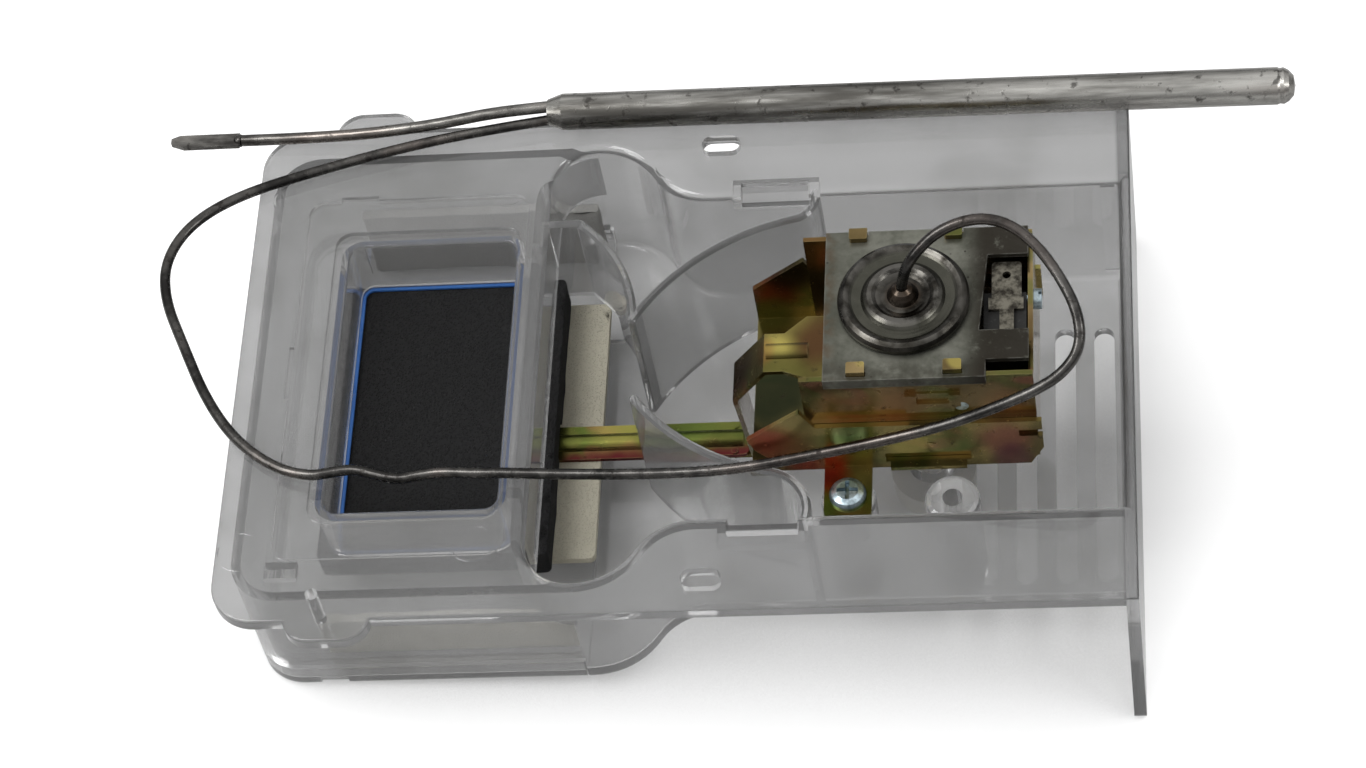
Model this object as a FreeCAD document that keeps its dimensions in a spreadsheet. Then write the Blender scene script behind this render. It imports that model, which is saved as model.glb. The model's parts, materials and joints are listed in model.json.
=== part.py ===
import FreeCAD, Part
import math
import os
import re
import Sketcher

# A capillary thermostat in its clear air-damper housing, in millimetres.
# Origin: midway between the two mounting slots, on the flange's top face.
# +X points to the deep end plate, +Y to the side where the bulb lies, +Z up, out of the open pocket.

SIZES = {
    # flange and its lugs
    "flange_left": -106.0,
    "flange_right": 92.0,
    "flange_half": 65.45,
    "flange_thick": 3.0,
    "flange_corner": 10.0,
    "lug_middle": -80.0,
    "lug_width": 19.0,
    "lug_reach": 5.05,
    "lug_corner": 6.0,
    "peg_radius": 1.4,
    "peg_height": 10.3,
    "peg_inset": 5.4,
    "slot_half_spacing": 57.45,
    "slot_length": 8.8,
    "slot_width": 4.5,
    # chamber and pocket walls
    "wall": 2.1,
    "chamber_left": -100.5,
    "chamber_half": 57.0,
    "chamber_corner": 8.0,
    "bend_start": -28.0,
    "bend_end": -2.0,
    "pocket_half": 42.2,
    "floor_depth": 38.5,
    "floor_thick": 2.3,
    "seam_depth": 31.0,
    "seam_gap": 0.2,
    "end_plate_thick": 2.7,
    "end_plate_drop": 52.0,
    "end_plate_corner": 3.0,
    "rim_round": 2.0,
    "edge_round": 0.6,
    "floor_round": 1.5,
    "groove_left": 85.2,
    "groove_right": 88.4,
    "groove_deep": 1.0,
    # mouth of the pocket and the lip under its left edge
    "mouth_left": -38.5,
    "mouth_corner": 10.0,
    "lip_thick": 3.4,
    "lip_depth": 17.0,
    "rim_notch_left": 5.0,
    "rim_notch_right": 20.3,
    "rim_notch_reach": 3.8,
    "rim_notch_depth": 4.0,
    # air duct with its stepped mouth
    "duct_left": -83.9,
    "duct_right": -45.5,
    "duct_front": -36.95,
    "duct_back": 33.95,
    "duct_wall": 1.9,
    "duct_depth": 18.4,
    "duct_corner": 3.0,
    "tray_left": -93.8,
    "tray_right": -43.0,
    "tray_front": -50.0,
    "tray_back": 45.5,
    "tray_depth": 0.9,
    "tray_notch_left": -86.6,
    "tray_notch_right": -78.0,
    "tray_notch_front": -8.0,
    "tray_notch_back": 5.5,
    "tray_notch_reach": 1.0,
    "ledge_margin": 3.2,
    "ledge_depth": 2.2,
    "window_left": -94.6,
    "window_right": -87.6,
    "window_front": -54.6,
    "window_back": -50.6,
    # curved vanes that form the neck
    "vane_thick": 2.0,
    "neck_left": -18.0,
    "neck_half": 10.0,
    "vane_start": -31.5,
    "vane_start_half": 37.0,
    "vane_tail": -40.0,
    "vane_bulge_left": -24.5,
    "vane_bulge_left_half": 29.5,
    "vane_bulge_right": -6.5,
    "vane_bulge_right_half": 24.0,
    "vane_curl": 18.0,
    "vane_curl_half": 36.0,
    "vane_end": 21.8,
    "front_tip": -16.6,
    "front_tip_half": 11.0,
    "front_bulge": -4.8,
    "front_bulge_half": 22.8,
    "front_curl": 14.0,
    "front_curl_half": 31.0,
    # floor vents, screw bosses and the ring on the floor
    "vent_first": 58.1,
    "vent_pitch": 8.83,
    "vent_count": 4,
    "vent_width": 4.6,
    "vent_back": 27.85,
    "vent_front": -39.0,
    "boss_radius": 6.0,
    "screw_x": 30.4,
    "screw_y": -34.9,
    "spare_boss_x": 52.7,
    "spare_boss_y": -35.6,
    "spare_hole_radius": 2.2,
    "boss_hole_depth": 12.0,
    "ring_x": 57.6,
    "ring_y": 27.0,
    "ring_radius": 12.6,
    "ring_wide": 1.2,
    "ring_high": 1.2,
    # bottom cover of the damper chamber
    "cover_floor": 2.0,
    "cover_right": -29.2,
    "cover_lip_high": 2.6,
    "cover_lip_thick": 1.4,
    "cover_lip_gap": 0.15,
    "cover_notch_left": -89.0,
    "cover_notch_right": -82.5,
    "cover_notch_high": 2.7,
    "cover_notch_deep": 1.4,
    # foam strips and the seal at the duct's lower end
    "strip_left": -86.0,
    "strip_right": -30.2,
    "strip_top": -17.4,
    "strip_gap": 0.1,
    "strip_thick": 2.8,
    "seal_inset": 0.7,
    "seal_thick": 0.5,
    # damper flap
    "pad_left": -88.4,
    "pad_right": -36.8,
    "pad_front": -38.9,
    "pad_back": 35.3,
    "pad_top": -19.2,
    "pad_corner": 1.5,
    "board_right": -27.8,
    "board_front": -34.6,
    "board_back": 34.1,
    "board_thick": 2.0,
    "board_swing": 2.3,
    "board_headroom": 0.7,
    "arm_top": -27.0,
    "arm_thick": 1.0,
    "arm_middle": -4.8,
    "arm_width": 8.8,
    "arm_left": -85.5,
    "arm_right": 5.9,
    "ridge_radius": 2.4,
    "ridge_high": 1.6,
    "ridge_end": 4.4,
    "groove_clear": 0.3,
    "seat_gap": 0.1,
    # main lever and its pin
    "pin_x": 56.0,
    "pin_z": 13.5,
    "pin_radius": 1.5,
    "pin_hole_clear": 0.05,
    "lever_thick": 1.1,
    "lever_top": 17.6,
    "slope_right": 14.0,
    "slope_side_front": -17.6,
    "slope_side_back": -7.8,
    "flare_left": 18.3,
    "flare_right": 23.0,
    "plate_side_front": -19.4,
    "plate_side_back": -3.6,
    "web_left": 6.3,
    "web_top": 6.8,
    "foot_left": -1.4,
    "ear_left": 52.5,
    "ear_right": 59.0,
    "lever_ridge_left": 14.5,
    "lever_ridge_right": 23.5,
    "lever_ridge_y": -12.4,
    "lever_ridge_radius": 2.0,
    "rivet_radius": 0.6,
    "rivet_head": 0.8,
    "rivet_head_high": 0.3,
    "rivet_offset": 3.4,
    # outer bracket
    "sheet": 1.1,
    "bracket_bottom": -6.0,
    "bracket_left": 8.5,
    "bracket_right": 72.6,
    "bracket_front": -27.4,
    "bracket_back": 13.2,
    "bracket_top": 10.0,
    "bracket_peak": 16.0,
    "bracket_peak_x": 21.5,
    "bracket_cut": 9.0,
    "bracket_cut_high": 8.0,
    "bracket_clip": 3.0,
    "bracket_clip_high": 6.0,
    "bracket_slope_top": 6.0,
    "tab_width": 10.3,
    "tab_reach": 5.6,
    "bracket_window_left": 38.6,
    "bracket_window_right": 57.0,
    # inner frame
    "frame_left": 22.5,
    "frame_right": 71.6,
    "frame_gap": 0.1,
    "frame_top": 24.8,
    "frame_step": 0.9,
    "crimp_left": 34.6,
    "crimp_right": 54.9,
    "crimp_width": 3.9,
    "crimp_high": 1.5,
    "catch_left": 44.3,
    "catch_right": 56.0,
    "catch_low": 13.2,
    "catch_high": 19.2,
    # cover plate
    "plate_left": 27.6,
    "plate_right": 70.8,
    "plate_front": -26.3,
    "plate_back": 12.1,
    "plate_thick": 1.2,
    "plate_lip": 1.6,
    "plate_lip_thick": 0.7,
    "plate_step_x": 61.8,
    "plate_step_y": -22.0,
    "plate_window_left": 60.4,
    "plate_window_front": -14.5,
    "plate_window_back": 4.8,
    # diaphragm capsule
    "capsule_x": 44.5,
    "capsule_y": -6.5,
    "capsule_radius": 14.0,
    "capsule_high": 2.9,
    "capsule_inner": 11.6,
    "disc_thick": 0.3,
    "boss_top": 4.2,
    "push_pin_radius": 2.4,
    "push_plate_radius": 6.0,
    "push_plate_thick": 0.6,
    "push_gap": 0.25,
    # terminals and contacts
    "base_left": 61.2,
    "base_right": 70.2,
    "base_front": -14.2,
    "base_back": 10.4,
    "base_step": -3.0,
    "base_top": 22.8,
    "base_low_top": 7.8,
    "tag_width": 6.3,
    "tag_middle": 66.1,
    "tag_thick": 0.8,
    "tag_tip": 4.4,
    "tag_shoulder": -5.2,
    "tag_tail": -13.2,
    "tag_tail_width": 3.0,
    "tag_hole_radius": 0.9,
    "tag_hole_inset": 3.4,
    "tag_low": 8.0,
    "blade_left": 42.0,
    "blade_z": 8.0,
    "blade_thick": 0.4,
    "blade_middle": 6.6,
    "blade_width": 5.0,
    "contact_radius": 1.6,
    "contact_high": 0.7,
    "contact_gap": 1.0,
    # range spring, cam, spindle and knob
    "spring_x": 30.0,
    "spring_y": -11.5,
    "spring_radius": 4.0,
    "spring_wire": 0.55,
    "spring_pitch": 2.6,
    "spindle_x": 46.0,
    "spindle_y": -7.0,
    "spindle_radius": 3.0,
    "spindle_clear": 0.08,
    "cam_radius": 8.0,
    "cam_offset": 1.6,
    "cam_high": 5.0,
    "knob_radius": 9.5,
    "knob_high": 8.0,
    "knob_gap": 0.5,
    "spindle_end_gap": 1.0,
    # small screws
    "screw_head_radius": 4.0,
    "screw_head_high": 2.4,
    "screw_shank_radius": 1.7,
    "screw_length": 10.0,
    "trim_y": -1.5,
    "trim_z": 18.0,
    "trim_radius": 1.3,
    "trim_head": 2.2,
    "trim_head_thick": 1.6,
    # capillary and bulb
    "tube_radius": 1.2,
    "bulb_radius": 4.2,
    "bulb_length": 168.6,
    "bulb_left": -39.4,
    "bulb_left_y": 65.1,
    "bulb_right_y": 63.6,
    "bulb_z": 4.35,
    "bulb_neck_radius": 3.0,
    "bulb_taper": 3.4,
    "bulb_cap": 4.0,
    "stub_radius": 1.35,
    "stub_flat_left": -127.8,
    "stub_flat_right": -111.7,
    "stub_flat_width": 3.4,
    "stub_flat_thick": 1.3,
}

# The capillary's points, from the capsule's boss to the bulb's neck, chosen by hand.
CAPILLARY_ROUTE = [
    (44.5, -6.5, 31.5),
    (45.3, -6.3, 36.6),
    (48.4, -4.4, 41.2),
    (53.5, -1.5, 44.4),
    (60.9, 0.1, 46.0),
    (67.5, -1.2, 45.6),
    (73.3, -5.5, 43.6),
    (78.1, -11.8, 40.6),
    (81.7, -19.0, 37.4),
    (82.0, -25.0, 33.4),
    (77.9, -28.9, 29.6),
    (71.5, -30.7, 26.0),
    (63.1, -31.9, 22.2),
    (53.1, -32.6, 17.6),
    (40.8, -32.7, 13.0),
    (24.6, -33.8, 9.6),
    (6.9, -35.4, 7.2),
    (-11.0, -34.8, 5.6),
    (-31.3, -33.2, 4.4),
    (-42.5, -32.2, 4.0),
    (-50.5, -31.7, 3.6),
    (-56.6, -31.0, 3.3),
    (-61.4, -31.2, 2.9),
    (-66.5, -32.1, 2.6),
    (-71.9, -30.4, 2.3),
    (-76.8, -28.7, 2.1),
    (-81.6, -29.3, 2.0),
    (-86.6, -30.1, 1.9),
    (-94.5, -27.6, 1.8),
    (-104.2, -19.9, 1.7),
    (-112.0, -8.6, 1.9),
    (-118.6, 5.8, 2.1),
    (-124.2, 18.3, 2.2),
    (-125.4, 29.2, 2.2),
    (-120.6, 39.4, 2.1),
    (-110.0, 47.0, 2.0),
    (-92.5, 53.0, 2.0),
    (-73.7, 58.2, 2.3),
    (-55.4, 61.6, 3.0),
    (-39.5, 63.8, 3.2),
]

# The charging stub's points, from the bulb's neck to its flattened end.
STUB_ROUTE = [
    (-39.5, 65.9, 5.4),
    (-52.5, 64.9, 5.3),
    (-66.0, 62.9, 4.3),
    (-82.0, 62.1, 3.1),
    (-97.0, 62.4, 2.2),
    (-112.4, 62.6, 2.0),
]

doc = FreeCAD.newDocument("CapillaryThermostat")
sheet = doc.addObject("Spreadsheet::Sheet", "Sizes")
for row, (alias, value) in enumerate(SIZES.items(), start=1):
    sheet.set("A%d" % row, alias)
    sheet.set("B%d" % row, str(value))
    sheet.setAlias("B%d" % row, alias)
doc.recompute()

pieces = []


def bound(text):
    """The same formula with every size read from the sheet."""
    return re.sub(r"[a-z]\w*", lambda word: "Sizes." + word.group(0), str(text))


def number(text):
    """The value of a formula in sizes."""
    return float(sheet.evalExpression(str(text)))


def bind(thing, **formulas):
    """Set properties by formula; a double underscore in a name stands for a dot."""
    for name, text in formulas.items():
        thing.setExpression(name.replace("__", "."), bound(text))


def piece(label, thing):
    """Name a finished sub-part."""
    thing.Label = label
    pieces.append(thing)
    return thing


def block(name, x, y, z):
    """A box between two values along each axis."""
    box = doc.addObject("Part::Box", name)
    bind(box, Length="(%s) - (%s)" % (x[1], x[0]), Width="(%s) - (%s)" % (y[1], y[0]),
         Height="(%s) - (%s)" % (z[1], z[0]), Placement__Base__x=x[0], Placement__Base__y=y[0],
         Placement__Base__z=z[0])
    return box


TURNS = {
    "X": FreeCAD.Rotation(FreeCAD.Vector(0, 1, 0), 90),
    "Y": FreeCAD.Rotation(FreeCAD.Vector(1, 0, 0), -90),
    "Z": FreeCAD.Rotation(),
}


def rod(name, along, start, radius, length):
    """A cylinder from its start point along one axis."""
    cylinder = doc.addObject("Part::Cylinder", name)
    cylinder.Placement = FreeCAD.Placement(FreeCAD.Vector(), TURNS[along])
    bind(cylinder, Radius=radius, Height=length, Placement__Base__x=start[0],
         Placement__Base__y=start[1], Placement__Base__z=start[2])
    return cylinder


def fuse(name, things):
    """One solid from several."""
    union = doc.addObject("Part::MultiFuse", name)
    union.Shapes = things
    union.Refine = True
    return union


def cut(name, base, tools):
    """The base with every tool taken away."""
    difference = doc.addObject("Part::Cut", name)
    difference.Base = base
    difference.Tool = tools[0] if len(tools) == 1 else fuse(name + "Tools", tools)
    difference.Refine = True
    return difference


def rounded(name, base, radius, wanted):
    """The base with the edges that a test picks rounded."""
    doc.recompute()
    size = number(radius)
    fillet = doc.addObject("Part::Fillet", name)
    fillet.Base = base
    fillet.Edges = [(index + 1, size, size) for index, edge in enumerate(base.Shape.Edges) if wanted(edge)]
    return fillet


def level(edge, height):
    """True for an edge that lies flat at a height."""
    box = edge.BoundBox
    return abs(box.ZMin - height) < 0.01 and abs(box.ZMax - height) < 0.01


def closed_sketch(body, plane, corners, offset=None):
    """A closed outline in one of the body's planes, each corner held by two formulas."""
    sketch = body.newObject("Sketcher::SketchObject", body.Name + "Sketch")
    support = [face for face in body.Origin.OriginFeatures if face.Role == plane]
    sketch.AttachmentSupport = [(support[0], "")]
    sketch.MapMode = "FlatFace"
    if offset is not None:
        bind(sketch, AttachmentOffset__Base__z=offset)
    spots = [FreeCAD.Vector(number(across), number(up), 0) for across, up in corners]
    for begin, finish in zip(spots, spots[1:] + spots[:1]):
        sketch.addGeometry(Part.LineSegment(begin, finish), False)
    for index, (across, up) in enumerate(corners):
        sketch.addConstraint(Sketcher.Constraint("Coincident", index, 2, (index + 1) % len(corners), 1))
        spot = spots[index]
        for kind, formula, value in (("DistanceX", across, spot.x), ("DistanceY", up, spot.y)):
            held = sketch.addConstraint(Sketcher.Constraint(kind, -1, 1, index, 1, value))
            sketch.setExpression("Constraints[%d]" % held, bound(formula))
    return sketch


def profile(name, plane, corners, low, high, round_edges=None, radius=None):
    """An outline padded between two values along the plane's own normal axis."""
    body = doc.addObject("PartDesign::Body", name)
    start = "-(%s)" % high if plane == "XZ_Plane" else low
    sketch = closed_sketch(body, plane, corners, start)
    pad = body.newObject("PartDesign::Pad", name + "Pad")
    pad.Profile = sketch
    bind(pad, Length="(%s) - (%s)" % (high, low))
    sketch.Visibility = False
    if round_edges is not None:
        doc.recompute()
        fillet = body.newObject("PartDesign::Fillet", name + "Round")
        chosen = ["Edge%d" % (index + 1) for index, edge in enumerate(pad.Shape.Edges) if round_edges(edge)]
        fillet.Base = (pad, chosen)
        bind(fillet, Radius=radius)
    return body


def turned(name, corners, centre, along="Z"):
    """A profile of radius and height turned about an axis through its centre."""
    body = doc.addObject("PartDesign::Body", name)
    sketch = closed_sketch(body, "XZ_Plane", corners)
    revolution = body.newObject("PartDesign::Revolution", name + "Turn")
    revolution.Profile = sketch
    revolution.ReferenceAxis = (sketch, ["V_Axis"])
    revolution.Angle = 360
    sketch.Visibility = False
    body.Placement = FreeCAD.Placement(FreeCAD.Vector(), TURNS[along])
    bind(body, Placement__Base__x=centre[0], Placement__Base__y=centre[1], Placement__Base__z=centre[2])
    return body


def upright(edge):
    """True for a straight edge along Z."""
    first, last = edge.Vertexes[0].Point, edge.Vertexes[-1].Point
    return abs(first.x - last.x) < 0.01 and abs(first.y - last.y) < 0.01


def slab(name, x, y, z, radius):
    """A plate with its four upright edges rounded."""
    corners = [(x[0], y[0]), (x[1], y[0]), (x[1], y[1]), (x[0], y[1])]
    return profile(name, "XY_Plane", corners, z[0], z[1], upright, radius)


def feature(name, shape):
    """A shape made with curves that neither a sketch of straight lines nor a primitive gives."""
    thing = doc.addObject("Part::Feature", name)
    thing.Shape = shape
    return thing


def pocket_wire(left, corner):
    """The plan of chamber and pocket: square corners rounded at the left, an S bend on each side."""
    half, narrow = number("chamber_half"), number("pocket_half")
    start, end = number("bend_start"), number("bend_end")
    right = number("flange_right - end_plate_thick")
    turn = 2 * math.atan2(half - narrow, end - start)
    radius = (end - start) / (2 * math.sin(turn))
    drop = radius * (1 - math.cos(turn))
    half_drop = radius * (1 - math.cos(turn / 2))
    reach, half_reach = radius * math.sin(turn), radius * math.sin(turn / 2)
    side = corner * (1 - math.sqrt(0.5))

    def spot(x, y):
        return FreeCAD.Vector(x, y, 0)

    back = [
        Part.Arc(spot(left, half - corner), spot(left + side, half - side), spot(left + corner, half)),
        Part.LineSegment(spot(left + corner, half), spot(start, half)),
        Part.Arc(spot(start, half), spot(start + half_reach, half - half_drop),
                 spot(start + reach, half - drop)),
        Part.Arc(spot(start + reach, half - drop), spot(end - half_reach, narrow + half_drop),
                 spot(end, narrow)),
        Part.LineSegment(spot(end, narrow), spot(right, narrow)),
    ]
    edges = [curve.toShape() for curve in back]
    mirrored = [edge.mirror(FreeCAD.Vector(), FreeCAD.Vector(0, 1, 0)) for edge in edges]
    ends = [
        Part.LineSegment(spot(right, narrow), spot(right, -narrow)).toShape(),
        Part.LineSegment(spot(left, -half + corner), spot(left, half - corner)).toShape(),
    ]
    return Part.Wire(Part.__sortEdges__(edges + mirrored + ends))


def pocket_solid(name, left, corner, low, high, grow=0.0, soft=None):
    """The pocket's plan between two levels, grown by a wall or with soft lower edges if asked."""
    face = Part.Face(pocket_wire(number(left), number(corner)))
    if grow:
        face = face.makeOffset2D(grow)
    face.translate(FreeCAD.Vector(0, 0, number(low)))
    solid = face.extrude(FreeCAD.Vector(0, 0, number(high) - number(low)))
    if soft:
        solid = solid.makeFillet(number(soft), [edge for edge in solid.Edges if level(edge, number(low))])
    return feature(name, solid)


def vane(name, side, tail, curves):
    """An upright vane: straight tail, if any, then one arc for each pair of points that follows."""
    low = number("-floor_depth + floor_thick / 2")
    high = -low

    def spot(x, half):
        return FreeCAD.Vector(number(x), side * number(half), low)

    runs = [Part.LineSegment(spot(*tail), spot(*curves[0]))] if tail else []
    for index in range(0, len(curves) - 1, 2):
        runs.append(Part.Arc(spot(*curves[index]), spot(*curves[index + 1]), spot(*curves[index + 2])))
    thick, edge_round = number("vane_thick"), number("edge_round")
    solids = []
    for run in runs:
        begin = run.value(run.FirstParameter)
        tangent = run.tangent(run.FirstParameter)[0]
        across = FreeCAD.Vector(-tangent.y, tangent.x, 0) * (thick / 2)
        inset = across * (1 - edge_round / (thick / 2))
        rise = FreeCAD.Vector(0, 0, high)
        shoulder = FreeCAD.Vector(0, 0, high - edge_round)
        outline = Part.makePolygon([begin - across, begin + across, begin + across + shoulder,
                                    begin + inset + rise, begin - inset + rise, begin - across + shoulder,
                                    begin - across])
        solids.append(Part.Wire(run.toShape()).makePipeShell([outline], True, False))
        post = Part.makeCylinder(thick / 2, high, begin)
        solids.append(post.makeChamfer(edge_round, [edge for edge in post.Edges if level(edge, low + high)]))
    return feature(name, solids[0].multiFuse(solids[1:]).removeSplitter())


def free_tube(points, radius):
    """A tube on straight runs joined by tangent arcs; gives the solid, its length and its arc radii."""
    route = [FreeCAD.Vector(*point) for point in points]
    edges, radii = [], []
    here = route[0]
    for before, corner, after in zip(route, route[1:], route[2:]):
        inward, outward = (corner - before), (after - corner)
        shorter = min(inward.Length, outward.Length)
        turn = inward.getAngle(outward)
        setback = 0.45 * shorter
        arc_radius = setback / math.tan(turn / 2)
        inward.normalize()
        outward.normalize()
        begin, finish = corner - inward * setback, corner + outward * setback
        towards = outward - inward
        towards.normalize()
        middle = corner + towards * (arc_radius / math.cos(turn / 2) - arc_radius)
        edges.append(Part.LineSegment(here, begin).toShape())
        edges.append(Part.Arc(begin, middle, finish).toShape())
        radii.append(arc_radius)
        here = finish
    edges.append(Part.LineSegment(here, route[-1]).toShape())
    wire = Part.Wire(edges)
    circle = Part.Wire(Part.makeCircle(radius, route[0], route[1] - route[0]))
    return wire.makePipeShell([circle], True, True), wire.Length, radii


# Flange, lugs, pockets and the clear moulding
flange = profile(
    "Flange", "XY_Plane",
    [("flange_left", "-flange_half"), ("flange_right", "-flange_half"),
     ("flange_right", "flange_half"), ("flange_left", "flange_half")],
    "-flange_thick", "0", lambda edge: upright(edge) and edge.Vertexes[0].X < 0, "flange_corner")
lugs = [
    slab("LugFront", ("lug_middle - lug_width / 2", "lug_middle + lug_width / 2"),
         ("-flange_half - lug_reach", "-flange_half + lug_width"), ("-flange_thick", "0"), "lug_corner"),
    slab("LugBack", ("lug_middle - lug_width / 2", "lug_middle + lug_width / 2"),
         ("flange_half - lug_width", "flange_half + lug_reach"), ("-flange_thick", "0"), "lug_corner"),
]
peg_y = "-flange_half - lug_reach + peg_inset"
peg = rod("Peg", "Z", ("lug_middle - 1", peg_y, "-flange_thick / 2"), "peg_radius",
          "peg_height + flange_thick / 2")
outer = pocket_solid("OuterShell", "chamber_left", "chamber_corner", "-floor_depth",
                     "-flange_thick + edge_round", number("wall"), "floor_round + 0.5")
hollow = pocket_solid("Hollow", "chamber_left", "chamber_corner", "-floor_depth + floor_thick", "1",
                      0.0, "floor_round")
under_seam = block("UnderSeam", ("chamber_left - 3 * wall", "cover_right + seam_gap"),
                   ("-chamber_half - 3 * wall", "chamber_half + 3 * wall"),
                   ("-floor_depth - 1", "-seam_depth"))
shell = cut("Shell", outer, [hollow, under_seam])
end_plate = profile(
    "EndPlate", "YZ_Plane",
    [("-flange_half", "-end_plate_drop"), ("flange_half", "-end_plate_drop"),
     ("flange_half", "-flange_thick / 2"), ("-flange_half", "-flange_thick / 2")],
    "flange_right - end_plate_thick", "flange_right",
    lambda edge: abs(edge.Vertexes[0].Z - edge.Vertexes[-1].Z) < 0.01
    and abs(edge.Vertexes[0].Y - edge.Vertexes[-1].Y) < 0.01 and edge.Vertexes[0].Z < -4,
    "end_plate_corner")
mouth = pocket_solid("Mouth", "mouth_left", "mouth_corner", "-flange_thick - 0.01", "1")
lip_outer = pocket_solid("LipOuter", "mouth_left - lip_thick", "mouth_corner + lip_thick", "-lip_depth",
                         "-flange_thick + edge_round")
lip_inner = pocket_solid("LipInner", "mouth_left", "mouth_corner", "-lip_depth - 1", "0")
lip = cut("Lip", lip_outer, [lip_inner])

duct_outer = slab("DuctOuter", ("duct_left - duct_wall", "duct_right + duct_wall"),
                  ("duct_front - duct_wall", "duct_back + duct_wall"), ("-duct_depth", "-flange_thick / 2"),
                  "duct_corner + duct_wall")
duct_inner = slab("DuctInner", ("duct_left", "duct_right"), ("duct_front", "duct_back"),
                  ("-duct_depth - 1", "1"), "duct_corner")
ledge = slab("Ledge", ("duct_left - ledge_margin", "duct_right + 1"),
             ("duct_front - ledge_margin", "duct_back + ledge_margin"), ("-ledge_depth", "1"),
             "duct_corner + 1")
tray = slab("Tray", ("tray_left", "tray_right"), ("tray_front", "tray_back"), ("-tray_depth", "1"),
            "duct_corner + 1")
tray_notches = [
    block("TrayNotchBack", ("tray_notch_left", "tray_notch_right"),
          ("tray_back - 1", "tray_back + tray_notch_reach"), ("-tray_depth", "1")),
    block("TrayNotchLeft", ("tray_left - tray_notch_reach", "tray_left + 1"),
          ("tray_notch_front", "tray_notch_back"), ("-tray_depth", "1")),
]
window = block("Window", ("window_left", "window_right"), ("window_front", "window_back"),
               ("-flange_thick - 1", "1"))

bosses, boss_holes = [], []
for name, x, y, hole in (("Main", "screw_x", "screw_y", "screw_shank_radius"),
                         ("Spare", "spare_boss_x", "spare_boss_y", "spare_hole_radius")):
    boss_high = "floor_depth - floor_thick / 2 + bracket_bottom"
    bosses.append(turned("Boss" + name, [
        ("0", "0"), ("boss_radius", "0"), ("boss_radius", boss_high + " - 1.2"),
        ("boss_radius - 0.35", boss_high + " - 0.35"), ("boss_radius - 1.2", boss_high), ("0", boss_high)],
        (x, y, "-floor_depth + floor_thick / 2")))
    boss_holes.append(rod("BossHole" + name, "Z", (x, y, "bracket_bottom - boss_hole_depth"), hole,
                          "boss_hole_depth + 1"))
ring = cut("FloorRing",
           rod("RingOuter", "Z", ("ring_x", "ring_y", "-floor_depth + floor_thick / 2"), "ring_radius",
               "floor_thick / 2 + ring_high"),
           [rod("RingInner", "Z", ("ring_x", "ring_y", "-floor_depth"), "ring_radius - ring_wide",
                "floor_thick + ring_high + 1")])
knob_collar = rod("KnobCollar", "Z", ("spindle_x", "spindle_y", "-floor_depth + floor_thick / 2"),
                  "spindle_radius + 2.5", "floor_thick / 2 + 4")
collar_hole = rod("CollarHole", "Z", ("spindle_x", "spindle_y", "-floor_depth - 1"),
                  "spindle_radius + spindle_clear", "floor_thick + 10")
vents = []
for index in range(int(SIZES["vent_count"])):
    middle = "vent_first + %d * vent_pitch" % index
    vents.append(block("Vent%d" % index, (middle + " - vent_width / 2", middle + " + vent_width / 2"),
                       ("vent_front + vent_width / 2", "vent_back - vent_width / 2"),
                       ("-floor_depth - 1", "-floor_depth + floor_thick + ring_high + 1")))
    for tag, y in (("Front", "vent_front + vent_width / 2"), ("Back", "vent_back - vent_width / 2")):
        vents.append(rod("Vent%s%d" % (tag, index), "Z", (middle, y, "-floor_depth - 1"), "vent_width / 2",
                         "floor_thick + ring_high + 2"))
slots = []
for tag, side in (("Front", "-"), ("Back", "")):
    y = side + "slot_half_spacing"
    slots.append(block("Slot" + tag, ("-(slot_length - slot_width) / 2", "(slot_length - slot_width) / 2"),
                       (y + " - slot_width / 2", y + " + slot_width / 2"), ("-flange_thick - 1", "1")))
    for end, shift in (("A", "-(slot_length - slot_width) / 2"), ("B", "(slot_length - slot_width) / 2")):
        slots.append(rod("Slot%s%s" % (tag, end), "Z", (shift, y, "-flange_thick - 1"), "slot_width / 2",
                         "flange_thick + 2"))
notches = [
    block("RimNotchBack", ("rim_notch_left", "rim_notch_right"),
          ("pocket_half - 1", "pocket_half + rim_notch_reach"), ("-rim_notch_depth", "1")),
    block("RimNotchFront", ("rim_notch_left", "rim_notch_right"),
          ("-pocket_half - rim_notch_reach", "-pocket_half + 1"), ("-rim_notch_depth", "1")),
]
notch_backs = [
    block("NotchBackWall", ("rim_notch_left - wall", "rim_notch_right + wall"),
          ("pocket_half", "pocket_half + rim_notch_reach + wall"),
          ("-rim_notch_depth - wall", "-flange_thick / 2")),
    block("NotchFrontWall", ("rim_notch_left - wall", "rim_notch_right + wall"),
          ("-pocket_half - rim_notch_reach - wall", "-pocket_half"),
          ("-rim_notch_depth - wall", "-flange_thick / 2")),
]
flange_cut = cut("FlangeCut", fuse("FlangeLugs", [flange] + lugs), [mouth])


def on_mouth(edge):
    """True for an edge of the mouth's rim on the flange's top."""
    x, y = edge.CenterOfMass.x, abs(edge.CenterOfMass.y)
    return (level(edge, 0) and number("mouth_left - 1") < x < number("flange_right - 0.5")
            and y < number("chamber_half + 1"))


def on_outside(edge):
    """True for an edge of the flange's outline on its top."""
    x, y = edge.CenterOfMass.x, abs(edge.CenterOfMass.y)
    return level(edge, 0) and (y > number("flange_half - 1") or x < number("chamber_left")
                               or x > number("flange_right - 0.5"))


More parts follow.
